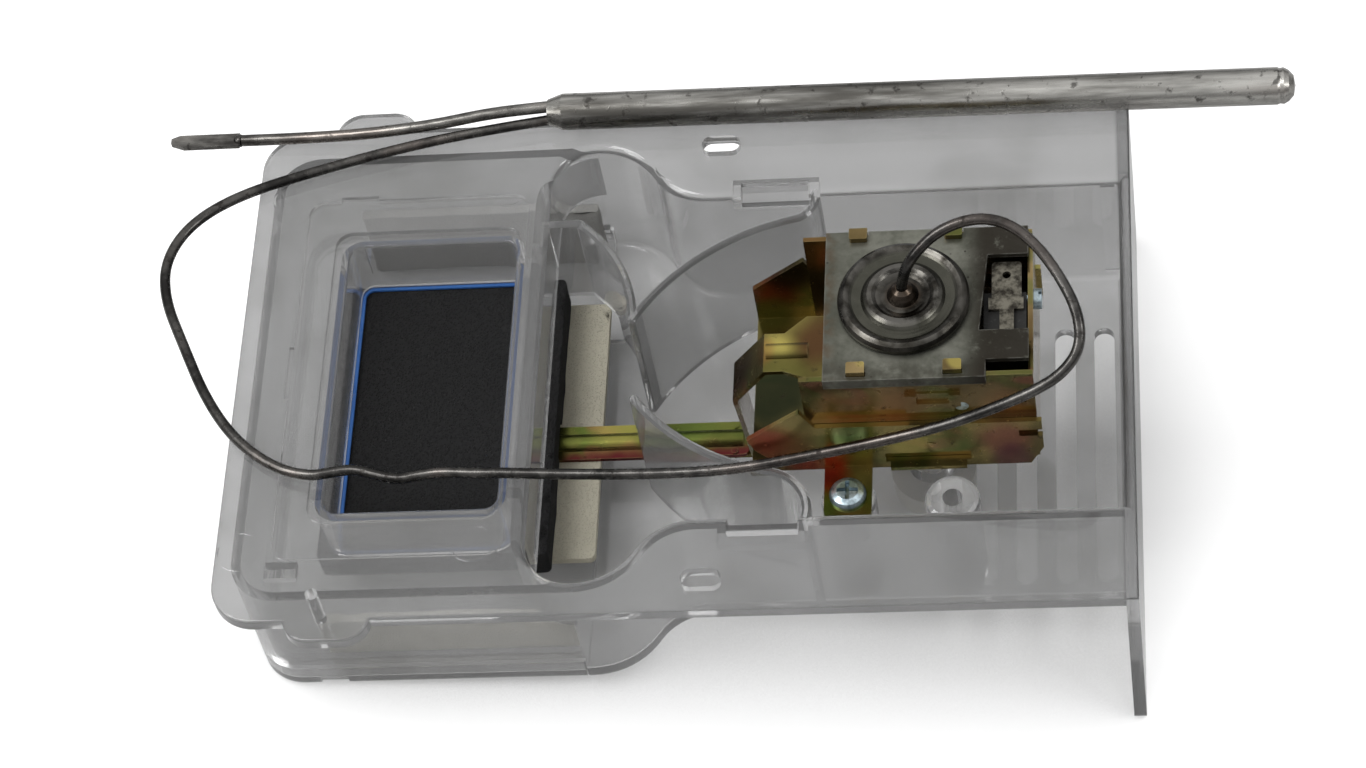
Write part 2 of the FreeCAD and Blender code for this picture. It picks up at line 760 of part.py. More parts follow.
flange_rimmed = rounded("FlangeRimmed", flange_cut, "rim_round", on_mouth)
flange_open = rounded("FlangeOpen", flange_rimmed, "edge_round", on_outside)
back_groove = block("BackGroove", ("groove_left", "groove_right"),
                    ("pocket_half - 1", "pocket_half + groove_deep"),
                    ("-floor_depth + floor_thick + floor_round", "-rim_round"))
wall_spot = ("vane_end", "pocket_half + wall / 2")
vanes = [
    vane("VaneBack", 1, ("vane_tail", "vane_start_half"), [
        ("vane_start", "vane_start_half"), ("vane_bulge_left", "vane_bulge_left_half"),
        ("neck_left", "neck_half"), ("vane_bulge_right", "vane_bulge_right_half"),
        ("vane_curl", "vane_curl_half"), ("(vane_curl + vane_end) / 2 + 0.9",
                                          "(vane_curl_half + pocket_half) / 2 - 0.8"), wall_spot]),
    vane("VaneFront", -1, None, [
        ("front_tip", "front_tip_half"), ("front_bulge", "front_bulge_half"),
        ("front_curl", "front_curl_half"), ("(front_curl + vane_end) / 2 + 2",
                                            "(front_curl_half + pocket_half) / 2 - 2"), wall_spot]),
]
# Room under the back vane for the board's corner while the flap swings down
swing_relief = block("SwingRelief", ("vane_tail - 3", "board_right + board_swing"),
                     ("vane_bulge_left_half", "vane_start_half + vane_thick"),
                     ("-floor_depth - 1", "arm_top - arm_thick + board_headroom"))
tail_relief = block("TailRelief", ("chamber_left - 3 * wall", "cover_right + seam_gap"),
                    ("-chamber_half - 3 * wall", "chamber_half + 3 * wall"),
                    ("-floor_depth - 1", "-floor_depth + cover_floor + seam_gap"))
moulding = fuse("Moulding", [flange_open, peg, shell, end_plate, lip, duct_outer, ring, knob_collar]
                + bosses + notch_backs + vanes)
openings = [duct_inner, ledge, tray, window, collar_hole, tail_relief, swing_relief, back_groove]
openings += tray_notches + boss_holes + vents + slots + notches
housing = cut("Housing", moulding, openings)


def on_duct(edge):
    """True for an edge of the duct's own rim, inside its ledge."""
    x, y = edge.CenterOfMass.x, edge.CenterOfMass.y
    return (level(edge, number("-ledge_depth")) and number("duct_left - 0.1") < x < number("duct_right + 0.1")
            and number("duct_front - 0.1") < y < number("duct_back + 0.1"))


piece("duct_housing", rounded("HousingRounded", housing, "edge_round", on_duct))

# Clear tray that closes the damper chamber
cover_outer = pocket_solid("CoverOuter", "chamber_left", "chamber_corner", "-floor_depth",
                           "-seam_depth - seam_gap", number("wall"), "floor_round + 0.5")
cover_hollow = pocket_solid("CoverHollow", "chamber_left", "chamber_corner", "-floor_depth + cover_floor",
                            "-seam_depth", 0.0, "edge_round")
cover_lip_outer = pocket_solid("CoverLipOuter", "chamber_left", "chamber_corner",
                               "-seam_depth - seam_gap - 1", "-seam_depth + cover_lip_high",
                               -number("cover_lip_gap"))
cover_lip_inner = pocket_solid("CoverLipInner", "chamber_left", "chamber_corner", "-floor_depth + 3",
                               "-seam_depth + cover_lip_high + 1",
                               -number("cover_lip_gap + cover_lip_thick"))
cover_lip = cut("CoverLip", cover_lip_outer, [cover_lip_inner])
cover_lip_root = cut("CoverLipRoot",
                     pocket_solid("LipRootOuter", "chamber_left", "chamber_corner",
                                  "-seam_depth - seam_gap - 1.4", "-seam_depth - seam_gap", 0.5),
                     [pocket_solid("LipRootInner", "chamber_left", "chamber_corner", "-floor_depth + 3",
                                   "-seam_depth", -number("cover_lip_gap + cover_lip_thick"))])
beyond_cover = block("BeyondCover", ("cover_right - seam_gap", "flange_right + 5"),
                     ("-chamber_half - 9", "chamber_half + 9"), ("-floor_depth - 2", "0"))
near_vanes = block("NearVanes", ("vane_tail - 3", "cover_right + 5"),
                   ("-chamber_half + 4", "chamber_half - 4"), ("-seam_depth - 2", "0"))
cover_notches = [
    block("CoverNotch" + tag, ("cover_notch_left", "cover_notch_right"), y,
          ("-floor_depth - 1", "-floor_depth + cover_notch_high"))
    for tag, y in (("Front", ("-chamber_half - 5", "-chamber_half - wall + cover_notch_deep")),
                   ("Back", ("chamber_half + wall - cover_notch_deep", "chamber_half + 5")))
]
cover_body = fuse("CoverBody", [cut("CoverShell", cover_outer, [cover_hollow]), cover_lip_root, cover_lip])
piece("bottom_cover", cut("BottomCover", cover_body, [beyond_cover, near_vanes] + cover_notches))

# Foam strips that lie in the tray, and the seal under the duct
strip_z = ("-floor_depth + cover_floor + strip_gap", "strip_top")
lip_face = "chamber_half - cover_lip_gap - cover_lip_thick - 0.2"
piece("foam_strip_front", slab("FoamStripFront", ("strip_left", "strip_right"),
                               ("-(%s)" % lip_face, "-(%s) + strip_thick" % lip_face), strip_z, "1"))
piece("foam_strip_back", slab("FoamStripBack", ("strip_left", "strip_right"),
                              (lip_face + " - strip_thick", lip_face), strip_z, "1"))
seal_z = ("-duct_depth - seal_thick", "-duct_depth")
seal_outer = slab("SealOuter", ("duct_left - seal_inset", "duct_right + seal_inset"),
                  ("duct_front - seal_inset", "duct_back + seal_inset"), seal_z, "duct_corner")
seal_inner = slab("SealInner", ("duct_left + seal_inset", "duct_right - seal_inset"),
                  ("duct_front + seal_inset", "duct_back - seal_inset"),
                  ("-duct_depth - seal_thick - 1", "-duct_depth + 1"), "duct_corner - 1")
piece("seat_seal", cut("SeatSeal", seal_outer, [seal_inner]))

# Damper flap: ridged arm between a foam pad and a foam board
arm_sides = ("arm_middle - arm_width / 2", "arm_middle + arm_width / 2")
arm_strip = slab("ArmStrip", ("arm_left", "arm_right"), arm_sides, ("arm_top - arm_thick", "arm_top"), "2")
ridge = rod("ArmRidge", "X", ("arm_left + 3", "arm_middle", "arm_top + ridge_high - ridge_radius"),
            "ridge_radius", "ridge_end - arm_left - 3")
below_arm = block("BelowArm", ("arm_left - 5", "arm_right + 5"), ("arm_middle - 9", "arm_middle + 9"),
                  ("arm_top - arm_thick - 5", "arm_top - arm_thick"))
rivet_spots = [("(foot_left + web_left) / 2", "arm_middle " + side + " rivet_offset") for side in ("-", "+")]
arm_holes = [rod("ArmHole%d" % index, "Z", (x, y, "arm_top - arm_thick - 1"), "rivet_radius", "arm_thick + 3")
             for index, (x, y) in enumerate(rivet_spots)]
piece("damper_arm", cut("DamperArm", fuse("ArmSolid", [arm_strip, ridge]), [below_arm] + arm_holes))
pad_solid = slab("PadSolid", ("pad_left", "pad_right"), ("pad_front", "pad_back"),
                 ("arm_top + seat_gap", "pad_top"), "pad_corner")
pad_groove = block("PadGroove", ("pad_left - 1", "pad_right + 1"),
                   ("arm_middle - arm_width / 2 - groove_clear", "arm_middle + arm_width / 2 + groove_clear"),
                   ("arm_top - 1", "arm_top + ridge_high + groove_clear"))
piece("damper_pad", cut("DamperPad", pad_solid, [pad_groove]))
board_top = "arm_top - arm_thick - seat_gap"
piece("damper_board", slab("BoardSolid", ("pad_left", "board_right"), ("board_front", "board_back"),
                           (board_top + " - board_thick", board_top), "pad_corner"))

# Main lever, bent from one sheet: plate and slope, leaning web, foot under the arm, two ears on the pin
under = "lever_top - lever_thick"
foot_top = "arm_top - arm_thick"
lever_strip = profile(
    "LeverStrip", "XZ_Plane",
    [("ear_right", under), ("ear_right", "lever_top"), ("slope_right", "lever_top"),
     ("web_left", "web_top + 0.4"), ("web_left", "web_top - 1.5"),
     ("web_left + lever_thick", "web_top - 1.5"), ("web_left + lever_thick", "web_top"),
     ("slope_right + 0.5", under)],
    "plate_side_front - 1", "plate_side_back + 1")
lever_plan = profile(
    "LeverPlan", "XY_Plane",
    [("web_left - 1", "slope_side_front"), ("flare_left", "slope_side_front"),
     ("flare_right", "plate_side_front"), ("ear_right + 1", "plate_side_front"),
     ("ear_right + 1", "plate_side_back"), ("flare_right", "plate_side_back"),
     ("flare_left", "slope_side_back"), ("web_left - 1", "slope_side_back")],
    "web_top - 4", "lever_top + 1")
lever_plate = doc.addObject("Part::MultiCommon", "LeverPlate")
lever_plate.Shapes = [lever_strip, lever_plan]
lever_plate.Refine = True
lever_web = profile(
    "LeverWeb", "YZ_Plane",
    [("arm_middle - arm_width / 2", foot_top + " - lever_thick"),
     ("arm_middle + arm_width / 2", foot_top + " - lever_thick"),
     ("slope_side_back", "web_top - 0.5"), ("slope_side_front", "web_top - 0.5")],
    "web_left", "web_left + lever_thick")
lever_foot = block("LeverFoot", ("foot_left", "web_left + lever_thick"),
                   ("arm_middle - arm_width / 2 + 0.5", "arm_middle + arm_width / 2 - 0.5"),
                   (foot_top + " - lever_thick", foot_top))
ear_blocks = [
    block("LeverEarFront", ("ear_left", "ear_right"), ("plate_side_front", "plate_side_front + lever_thick"),
          ("pin_z - 3", under)),
    block("LeverEarBack", ("ear_left", "ear_right"), ("plate_side_back - lever_thick", "plate_side_back"),
          ("pin_z - 3", under)),
]
lever_ridge = rod("LeverRidge", "X", ("lever_ridge_left", "lever_ridge_y", "lever_top - 0.5"),
                  "lever_ridge_radius", "lever_ridge_right - lever_ridge_left")
ridge_under = block("RidgeUnder", ("lever_ridge_left - 1", "lever_ridge_right + 1"),
                    ("lever_ridge_y - 4", "lever_ridge_y + 4"), (under + " - 4", under))
lever_holes = [rod("LeverPinHole", "Y", ("pin_x", "plate_side_front - 1", "pin_z"),
                   "pin_radius + pin_hole_clear", "plate_side_back - plate_side_front + 2")]
lever_holes += [rod("FootHole%d" % index, "Z", (x, y, foot_top + " - lever_thick - 1"), "rivet_radius", "3")
                for index, (x, y) in enumerate(rivet_spots)]
lever_ridge_top = cut("LeverRidgeTop", lever_ridge, [ridge_under])
lever_solid = fuse("LeverSolid", [lever_plate, lever_web, lever_foot, lever_ridge_top] + ear_blocks)
piece("main_lever", cut("MainLever", lever_solid, lever_holes))
rivets = []
for index, (x, y) in enumerate(rivet_spots):
    rivets.append(fuse("Rivet%d" % index, [
        rod("RivetShank%d" % index, "Z", (x, y, foot_top + " - lever_thick"), "rivet_radius",
            "arm_thick + lever_thick"),
        rod("RivetHead%d" % index, "Z", (x, y, "arm_top"), "rivet_head", "rivet_head_high")]))
rivet_pair = doc.addObject("Part::Compound", "RivetPair")
rivet_pair.Links = rivets
piece("arm_rivets", rivet_pair)

# Outer bracket with sloped ears and the screw tab
wall_outline = [("bracket_right - bracket_clip", "bracket_bottom"),
                ("bracket_right", "bracket_bottom + bracket_clip_high"),
                ("bracket_right", "bracket_top"), ("bracket_peak_x + 3", "bracket_top"),
                ("bracket_peak_x", "bracket_peak"), ("bracket_left + 1", "bracket_slope_top")]
cut_corner = [("bracket_left + 2.5", "bracket_bottom + bracket_cut_high"),
              ("bracket_left + bracket_cut", "bracket_bottom")]
bracket_front = profile("BracketFront", "XZ_Plane", wall_outline + cut_corner,
                        "bracket_front", "bracket_front + sheet")
bracket_back = profile("BracketBack", "XZ_Plane", wall_outline + [("bracket_left + 1", "bracket_bottom")],
                       "bracket_back - sheet", "bracket_back")
bracket_base = block("BracketBase", ("bracket_left + 1", "bracket_right - bracket_clip"),
                     ("bracket_front", "bracket_back"),
                     ("bracket_bottom", "bracket_bottom + sheet"))
tab = slab("Tab", ("screw_x - tab_width / 2", "screw_x + tab_width / 2"),
           ("screw_y - tab_reach", "bracket_front + 3"), ("bracket_bottom", "bracket_bottom + sheet"), "1.5")
tab_hole = rod("TabHole", "Z", ("screw_x", "screw_y", "bracket_bottom - 1"), "screw_shank_radius + 0.3",
               "sheet + 2")
bracket_window = block("BracketWindow", ("bracket_window_left", "bracket_window_right"),
                       ("bracket_front - 1", "bracket_front + sheet + 1"),
                       ("bracket_bottom + 2.2", "bracket_bottom + 5.4"))
window_lip = block("WindowLip", ("bracket_window_left + 1", "bracket_window_right - 1"),
                   ("bracket_front - 1.6", "bracket_front + 0.2"),
                   ("bracket_bottom + 1.1", "bracket_bottom + 2.2"))
corner_slot = block("CornerSlot", ("bracket_right - 5", "bracket_right + 1"),
                    ("bracket_front - 1", "bracket_front + sheet + 0.05"),
                    ("bracket_top - 5.5", "bracket_top - 3.2"))
spindle_gap = rod("BracketSpindleHole", "Z", ("spindle_x", "spindle_y", "bracket_bottom - 1"),
                  "spindle_radius + 1", "sheet + 2")
piece("bracket", cut("Bracket", fuse("BracketSolid", [bracket_front, bracket_back, bracket_base, tab,
                                                      window_lip]),
                     [tab_hole, bracket_window, corner_slot, spindle_gap]))

# Inner frame: a front wall that steps inward above the bracket, a back wall, a bottom, a right wall and tabs
frame_front = "bracket_front + sheet + frame_gap"
upper_front = "bracket_front + sheet + frame_gap + frame_step"
step_top = "bracket_top + 0.2"
frame_back = "bracket_back - sheet - frame_gap"
frame_bottom = "bracket_bottom + sheet + frame_gap"
sides = [
    block("FrameFront", ("frame_left", "frame_right"), (frame_front, frame_front + " + sheet"),
          (frame_bottom, step_top)),
    block("FrameStep", ("frame_left", "frame_right"), (frame_front, upper_front + " + sheet"),
          (step_top + " - sheet", step_top)),
    block("FrameFrontUpper", ("frame_left", "frame_right"), (upper_front, upper_front + " + sheet"),
          (step_top + " - sheet", "frame_top")),
    block("FrameBack", ("frame_left", "frame_right"), (frame_back + " - sheet", frame_back),
          (frame_bottom, "frame_top")),
    block("FrameBase", ("frame_left", "frame_right"), (frame_front, frame_back),
          (frame_bottom, frame_bottom + " + sheet")),
    block("FrameRight", ("frame_right - sheet", "frame_right"), (upper_front, frame_back),
          (frame_bottom, "frame_top - 2.4")),
]
crimps = []
for tag, x in (("Left", "crimp_left"), ("Right", "crimp_right")):
    for end, stem, hook in (
            ("Front", (upper_front, upper_front + " + sheet"), (upper_front, upper_front + " + sheet + 1.7")),
            ("Back", (frame_back + " - sheet", frame_back), (frame_back + " - sheet - 1.7", frame_back))):
        span = (x + " - crimp_width / 2", x + " + crimp_width / 2")
        crimps.append(block("Crimp%s%s" % (tag, end), span, stem, ("frame_top - 1", "frame_top + plate_thick"
                                                                  " + crimp_high")))
        crimps.append(slab("Hook%s%s" % (tag, end), span, hook,
                           ("frame_top + plate_thick + 0.1", "frame_top + plate_thick + crimp_high"), "0.5"))
catch = cut("Catch",
            block("CatchBlock", ("catch_left", "catch_right"), (upper_front + " - 1", upper_front + " + 0.4"),
                  ("catch_low", "catch_high")),
            [block("CatchHollow", ("catch_left + 2.4", "catch_right - 2.4"),
                   (upper_front + " - 3", upper_front + " - 0.3"), ("catch_low + 3", "catch_high + 1"))])
frame_holes = [
    rod("FramePinHole", "Y", ("pin_x", frame_front + " - 2", "pin_z"), "pin_radius + pin_hole_clear",
        "bracket_back - bracket_front + 4"),
    rod("FrameSpindleHole", "Z", ("spindle_x", "spindle_y", "bracket_bottom - 1"),
        "spindle_radius + spindle_clear", "6"),
    rod("TrimHole", "X", ("frame_right - 3", "trim_y", "trim_z"), "trim_radius + 0.05", "6"),
    block("WireHole", ("frame_right - 4.4", "frame_right - 1.9"),
          (frame_front + " - 2", frame_front + " + 3"), ("catch_low + 1", "catch_low + 4")),
]
piece("thermostat_frame", cut("ThermostatFrame", fuse("FrameSolid", sides + crimps + [catch]), frame_holes))
piece("hinge_pin", rod("HingePin", "Y", ("pin_x", upper_front + " + 0.1", "pin_z"), "pin_radius",
                       "bracket_back - bracket_front - 2 * sheet - 2 * frame_gap - frame_step - 0.2"))

# Cover plate with a window over the terminals
cover_bottom = "frame_top + 0.05"
cover_top = "frame_top + plate_thick"
cover_main = profile(
    "CoverMain", "XY_Plane",
    [("plate_left", "plate_front"), ("plate_step_x", "plate_front"), ("plate_step_x", "plate_step_y"),
     ("plate_right", "plate_step_y"), ("plate_right", "plate_window_front"),
     ("plate_window_left", "plate_window_front"), ("plate_window_left + 1.8", "plate_window_back"),
     ("plate_right", "plate_window_back"), ("plate_right", "plate_back"), ("plate_left", "plate_back")],
    cover_bottom, cover_top)
cover_edge = block("CoverEdge", ("plate_left", "plate_step_x"),
                   ("plate_front", "plate_front + plate_lip_thick"), ("frame_top - plate_lip", cover_top))
cover_slots = [
    block("CoverSlot%s%s" % (tag, end), (x + " - crimp_width / 2 - 0.15", x + " + crimp_width / 2 + 0.15"), y,
          ("frame_top - 1", "frame_top + plate_thick + 1"))
    for tag, x in (("Left", "crimp_left"), ("Right", "crimp_right"))
    for end, y in (("Front", (upper_front + " - 0.1", upper_front + " + sheet + 0.1")),
                   ("Back", (frame_back + " - sheet - 0.1", frame_back + " + 0.1")))
]
capsule_opening = rod("CapsuleOpening", "Z", ("capsule_x", "capsule_y", "frame_top - 3"),
                      "capsule_inner - 3.2", "6")
piece("cover_plate", cut("CoverPlate", fuse("CoverSolid", [cover_main, cover_edge]),
                         cover_slots + [capsule_opening]))

# Diaphragm capsule: ringed cup, thin disc and push pin
piece("capsule_cup", turned("CapsuleCup", [
    ("0", "1.4"), ("capsule_inner", "1.4"), ("capsule_inner", "0"), ("capsule_radius - 0.4", "0"),
    ("capsule_radius", "0.5"), ("capsule_radius", "1.3"), ("capsule_radius - 0.5", "2.2"),
    ("capsule_radius - 1.4", "capsule_high - 0.1"), ("capsule_radius - 2.4", "capsule_high - 0.5"),
    ("capsule_radius - 3", "2.0"), ("9.0", "1.9"), ("8.4", "2.6"), ("7.6", "3.2"), ("6.6", "3.2"),
    ("5.8", "2.6"), ("4.6", "2.2"), ("3.4", "2.4"), ("2.9", "3.4"), ("2.2", "boss_top + 0.4"),
    ("tube_radius + 0.2", "boss_top + 1.1"), ("0", "boss_top + 1.1")],
    ("capsule_x", "capsule_y", cover_top + " + 0.05")))
disc_low = cover_top + " + 0.1"
piece("diaphragm_disc", rod("DiaphragmDisc", "Z", ("capsule_x", "capsule_y", disc_low),
                            "capsule_inner - 0.1", "disc_thick"))
push_top = cover_top + " - 0.1"
push_stem = rod("PushStem", "Z", ("capsule_x", "capsule_y", "lever_top + push_gap"), "push_pin_radius",
                push_top + " - lever_top - push_gap")
push_head = rod("PushHead", "Z", ("capsule_x", "capsule_y", push_top + " - push_plate_thick"),
                "push_plate_radius", "push_plate_thick")
piece("push_pin", fuse("PushPin", [push_stem, push_head]))

# Insulating base, two push-on tags and the switch blade
base_bottom = frame_bottom + " + sheet + 0.1"
tag_faces = ("tag_middle - tag_width / 2", "tag_middle + tag_width / 2")


def tag(name, low):
    """A flat push-on tag with a hole, shoulders and a narrow tail."""
    high = "(%s) + tag_thick" % low
    head = slab(name + "Head", tag_faces, ("tag_shoulder", "tag_tip"), (low, high), "0.8")
    shoulder = block(name + "Shoulder",
                     ("tag_middle - tag_width / 2 - 0.7", "tag_middle + tag_width / 2 + 0.4"),
                     ("tag_shoulder - 2.6", "tag_shoulder + 0.4"), (low, high))
    tail = block(name + "Tail", ("tag_middle - tag_tail_width / 2", "tag_middle + tag_tail_width / 2"),
                 ("tag_tail", "tag_shoulder"), (low, high))
    hole = rod(name + "Hole", "Z", ("tag_middle", "tag_tip - tag_hole_inset", low + " - 1"),
               "tag_hole_radius", "tag_thick + 2")
    return cut(name, fuse(name + "Solid", [head, shoulder, tail]), [hole])


piece("terminal_upper", tag("TerminalUpper", "base_top + 0.1"))
piece("terminal_lower", tag("TerminalLower", "tag_low"))
base_solid = fuse("BaseSolid", [
    block("BaseTall", ("base_left", "base_right"), ("base_front", "base_step"), (base_bottom, "base_top")),
    block("BaseLow", ("base_left", "base_right"), ("base_step - 1", "base_back"),
          (base_bottom, "base_low_top")),
])
tag_slot = block("TagSlot", ("tag_middle - tag_width / 2 - 0.9", "tag_middle + tag_width / 2 + 0.6"),
                 ("tag_tail - 0.2", "tag_tip + 1"), ("tag_low - 0.1", "tag_low + tag_thick + 0.1"))
blade_seat = block("BladeSeat", ("base_left - 1", "base_left + 1"),
                   ("blade_middle - blade_width / 2 - 0.3", "blade_middle + blade_width / 2 + 0.3"),
                   ("blade_z - blade_thick - 0.3", "base_low_top + 1"))
piece("terminal_base", cut("TerminalBase", base_solid, [tag_slot, blade_seat]))
blade_sides = ("blade_middle - blade_width / 2", "blade_middle + blade_width / 2")
blade_strip = block("BladeStrip", ("blade_left", "base_left + 0.7"), blade_sides,
                    ("blade_z - blade_thick", "blade_z"))
moving_contact = rod("MovingContact", "Z", ("blade_left + 2.4", "blade_middle",
                                           "blade_z - blade_thick - contact_high"), "contact_radius",
                     "contact_high + blade_thick / 2")
piece("contact_blade", fuse("ContactBlade", [blade_strip, moving_contact]))
post_top = "blade_z - blade_thick - contact_high - contact_gap"
post = block("ContactPost", ("blade_left + 0.6", "base_left - 0.1"), blade_sides,
             (frame_bottom + " + sheet + 0.1", frame_bottom + " + sheet + 1.1"))
riser = block("ContactRiser", ("blade_left + 0.6", "blade_left + 4.4"), blade_sides,
              (frame_bottom + " + sheet + 0.6", post_top + " - 0.8"))
fixed_button = rod("FixedButton", "Z", ("blade_left + 2.4", "blade_middle", post_top + " - 1"),
                   "contact_radius", "1")
piece("fixed_contact", fuse("FixedContact", [post, riser, fixed_button]))

# Range spring under the lever
spring_low = frame_bottom + " + sheet + spring_wire + 0.05"
helix = doc.addObject("Part::Helix", "SpringPath")
bind(helix, Pitch="spring_pitch", Radius="spring_radius", Placement__Base__x="spring_x",
     Placement__Base__y="spring_y", Placement__Base__z=spring_low,
     Height="lever_top - lever_thick - (%s) - 0.3 - spring_wire" % spring_low)
wire = doc.addObject("Part::Circle", "SpringWire")
wire.Placement = FreeCAD.Placement(FreeCAD.Vector(), FreeCAD.Rotation(FreeCAD.Vector(1, 0, 0), 90))
bind(wire, Radius="spring_wire", Placement__Base__x="spring_x + spring_radius",
     Placement__Base__y="spring_y", Placement__Base__z=spring_low)
doc.recompute()
coil = doc.addObject("Part::Sweep", "RangeSpring")
coil.Sections = [wire]
coil.Spine = (helix, ["Edge%d" % (index + 1) for index in range(len(helix.Shape.Edges))])
coil.Solid = True
coil.Frenet = True
piece("range_spring", coil)

# Spindle with its cam inside and its knob under the floor
knob_top = "-floor_depth - knob_gap"
knob_bottom = knob_top + " - knob_high"
cam_bottom = frame_bottom + " + sheet + 0.2"
spindle_low = knob_bottom + " + spindle_end_gap"
spindle_high = cam_bottom + " + cam_high + 1.5"
piece("spindle", rod("Spindle", "Z", ("spindle_x", "spindle_y", spindle_low), "spindle_radius",
                     "(%s) - (%s)" % (spindle_high, spindle_low)))
piece("cam", cut("Cam", rod("CamDisc", "Z", ("spindle_x + cam_offset", "spindle_y", cam_bottom),
                            "cam_radius", "cam_high"),
                 [rod("CamBore", "Z", ("spindle_x", "spindle_y", cam_bottom + " - 1"),
                      "spindle_radius + 0.05", "cam_high + 2")]))
knob_body = turned("KnobBody", [
    ("0", "0"), ("knob_radius - 1.2", "0"), ("knob_radius - 0.4", "0.8"), ("knob_radius", "knob_high"),
    ("0", "knob_high")], ("spindle_x", "spindle_y", knob_bottom))
knob_grip = block("KnobGrip", ("spindle_x - knob_radius + 2", "spindle_x + knob_radius - 2"),
                  ("spindle_y + 2.2", "spindle_y + knob_radius"),
                  (knob_bottom + " - 1", knob_bottom + " + 3.6"))
knob_grip_mirror = block("KnobGripMirror", ("spindle_x - knob_radius + 2", "spindle_x + knob_radius - 2"),
                         ("spindle_y - knob_radius", "spindle_y - 2.2"),
                         (knob_bottom + " - 1", knob_bottom + " + 3.6"))
knob_bore = rod("KnobBore", "Z", ("spindle_x", "spindle_y", spindle_low + " - 0.3"),
                "spindle_radius + 0.05", "knob_high + 2")
knob_disc = rod("KnobDisc", "Z", ("spindle_x", "spindle_y", knob_bottom + " - 2"), "knob_radius - 2.2", "8")
grips = doc.addObject("Part::MultiCommon", "KnobCuts")
grips.Shapes = [fuse("GripBlocks", [knob_grip, knob_grip_mirror]), knob_disc]
piece("setting_knob", cut("SettingKnob", knob_body, [grips, knob_bore]))

# Mounting screw with a cross recess, and the trim screw in the right wall
head_low = "bracket_bottom + sheet"
screw_body = turned("ScrewBody", [
    ("0", "-screw_length"), ("screw_shank_radius - 0.8", "-screw_length"),
    ("screw_shank_radius - 0.05", "-screw_length + 1.6"), ("screw_shank_radius - 0.05", "0.05"),
    ("screw_head_radius", "0.05"), ("screw_head_radius", "0.7"),
    ("screw_head_radius - 0.5", "screw_head_high - 0.9"),
    ("screw_head_radius - 1.6", "screw_head_high - 0.25"), ("0", "screw_head_high")],
    ("screw_x", "screw_y", head_low))
recess = [
    block("RecessA", ("screw_x - 2.3", "screw_x + 2.3"), ("screw_y - 0.45", "screw_y + 0.45"),
          (head_low + " + 0.9", head_low + " + 4")),
    block("RecessB", ("screw_x - 0.45", "screw_x + 0.45"), ("screw_y - 2.3", "screw_y + 2.3"),
          (head_low + " + 0.9", head_low + " + 4")),
]
piece("mounting_screw", cut("MountingScrew", screw_body, recess))
trim_head = rod("TrimHead", "X", ("frame_right + 0.05", "trim_y", "trim_z"), "trim_head", "trim_head_thick")
trim_shank = rod("TrimShank", "X", ("frame_right - 3", "trim_y", "trim_z"), "trim_radius", "4")
trim_slot = block("TrimSlot", ("frame_right + trim_head_thick - 0.6", "frame_right + 4"),
                  ("trim_y - 0.35", "trim_y + 0.35"), ("trim_z - 4", "trim_z + 4"))
piece("trim_screw", cut("TrimScrew", fuse("TrimSolid", [trim_head, trim_shank]), [trim_slot]))

# Capillary, bulb and charging stub
capillary, capillary_length, capillary_radii = free_tube(CAPILLARY_ROUTE, number("tube_radius"))
piece("capillary", feature("Capillary", capillary))
print("capillary length %.1f, smallest radius %.1f" % (capillary_length, min(capillary_radii)))
print("arc radii", " ".join("%.1f" % radius for radius in capillary_radii))
print("volume ratio %.4f" % (capillary.Volume
                            / (math.pi * number("tube_radius") ** 2 * capillary_length)))
bulb = turned("SensingBulb", [
    ("0", "0"), ("bulb_neck_radius", "0"), ("bulb_neck_radius + 0.2", "0.6"), ("bulb_radius", "bulb_taper"),
    ("bulb_radius", "bulb_length - bulb_cap"), ("bulb_radius - 0.25", "bulb_length - bulb_cap + 0.5"),
    ("bulb_radius - 0.1", "bulb_length - bulb_cap + 1.4"), ("bulb_radius - 0.7", "bulb_length - 1.5"),
    ("bulb_radius - 1.9", "bulb_length - 0.4"), ("0", "bulb_length")],
    ("bulb_left", "bulb_left_y", "bulb_z"), "X")
bulb_turn = math.degrees(math.asin((number("bulb_right_y") - number("bulb_left_y")) / number("bulb_length")))
bulb.Placement = FreeCAD.Placement(
    FreeCAD.Vector(number("bulb_left"), number("bulb_left_y"), number("bulb_z")),
    FreeCAD.Rotation(FreeCAD.Vector(0, 0, 1), bulb_turn).multiply(TURNS["X"]))
piece("sensing_bulb", bulb)
stub, stub_length, stub_radii = free_tube(STUB_ROUTE, number("stub_radius"))
end = FreeCAD.Vector(*STUB_ROUTE[-1])
half_wide, half_thick = number("stub_flat_width / 2"), number("stub_flat_thick / 2")
flat_left, flat_right = number("stub_flat_left"), number("stub_flat_right")
flat_outline = Part.makePolygon([
    FreeCAD.Vector(flat_right, end.y - half_wide, 0), FreeCAD.Vector(flat_left + 3, end.y - half_wide, 0),
    FreeCAD.Vector(flat_left, end.y - half_wide * 0.3, 0),
    FreeCAD.Vector(flat_left, end.y + half_wide * 0.5, 0),
    FreeCAD.Vector(flat_left + 2, end.y + half_wide, 0), FreeCAD.Vector(flat_right, end.y + half_wide, 0),
    FreeCAD.Vector(flat_right, end.y - half_wide, 0)])
flat_outline.translate(FreeCAD.Vector(0, 0, end.z - half_thick))
flat = Part.Face(flat_outline).extrude(FreeCAD.Vector(0, 0, 2 * half_thick))
swell = Part.makeSphere(number("stub_radius + 0.15"), FreeCAD.Vector(flat_right, end.y, end.z))
piece("charge_stub", feature("ChargeStub", stub.multiFuse([flat, swell]).removeSplitter()))
print("stub length %.1f, smallest radius %.1f" % (stub_length, min(stub_radii)))

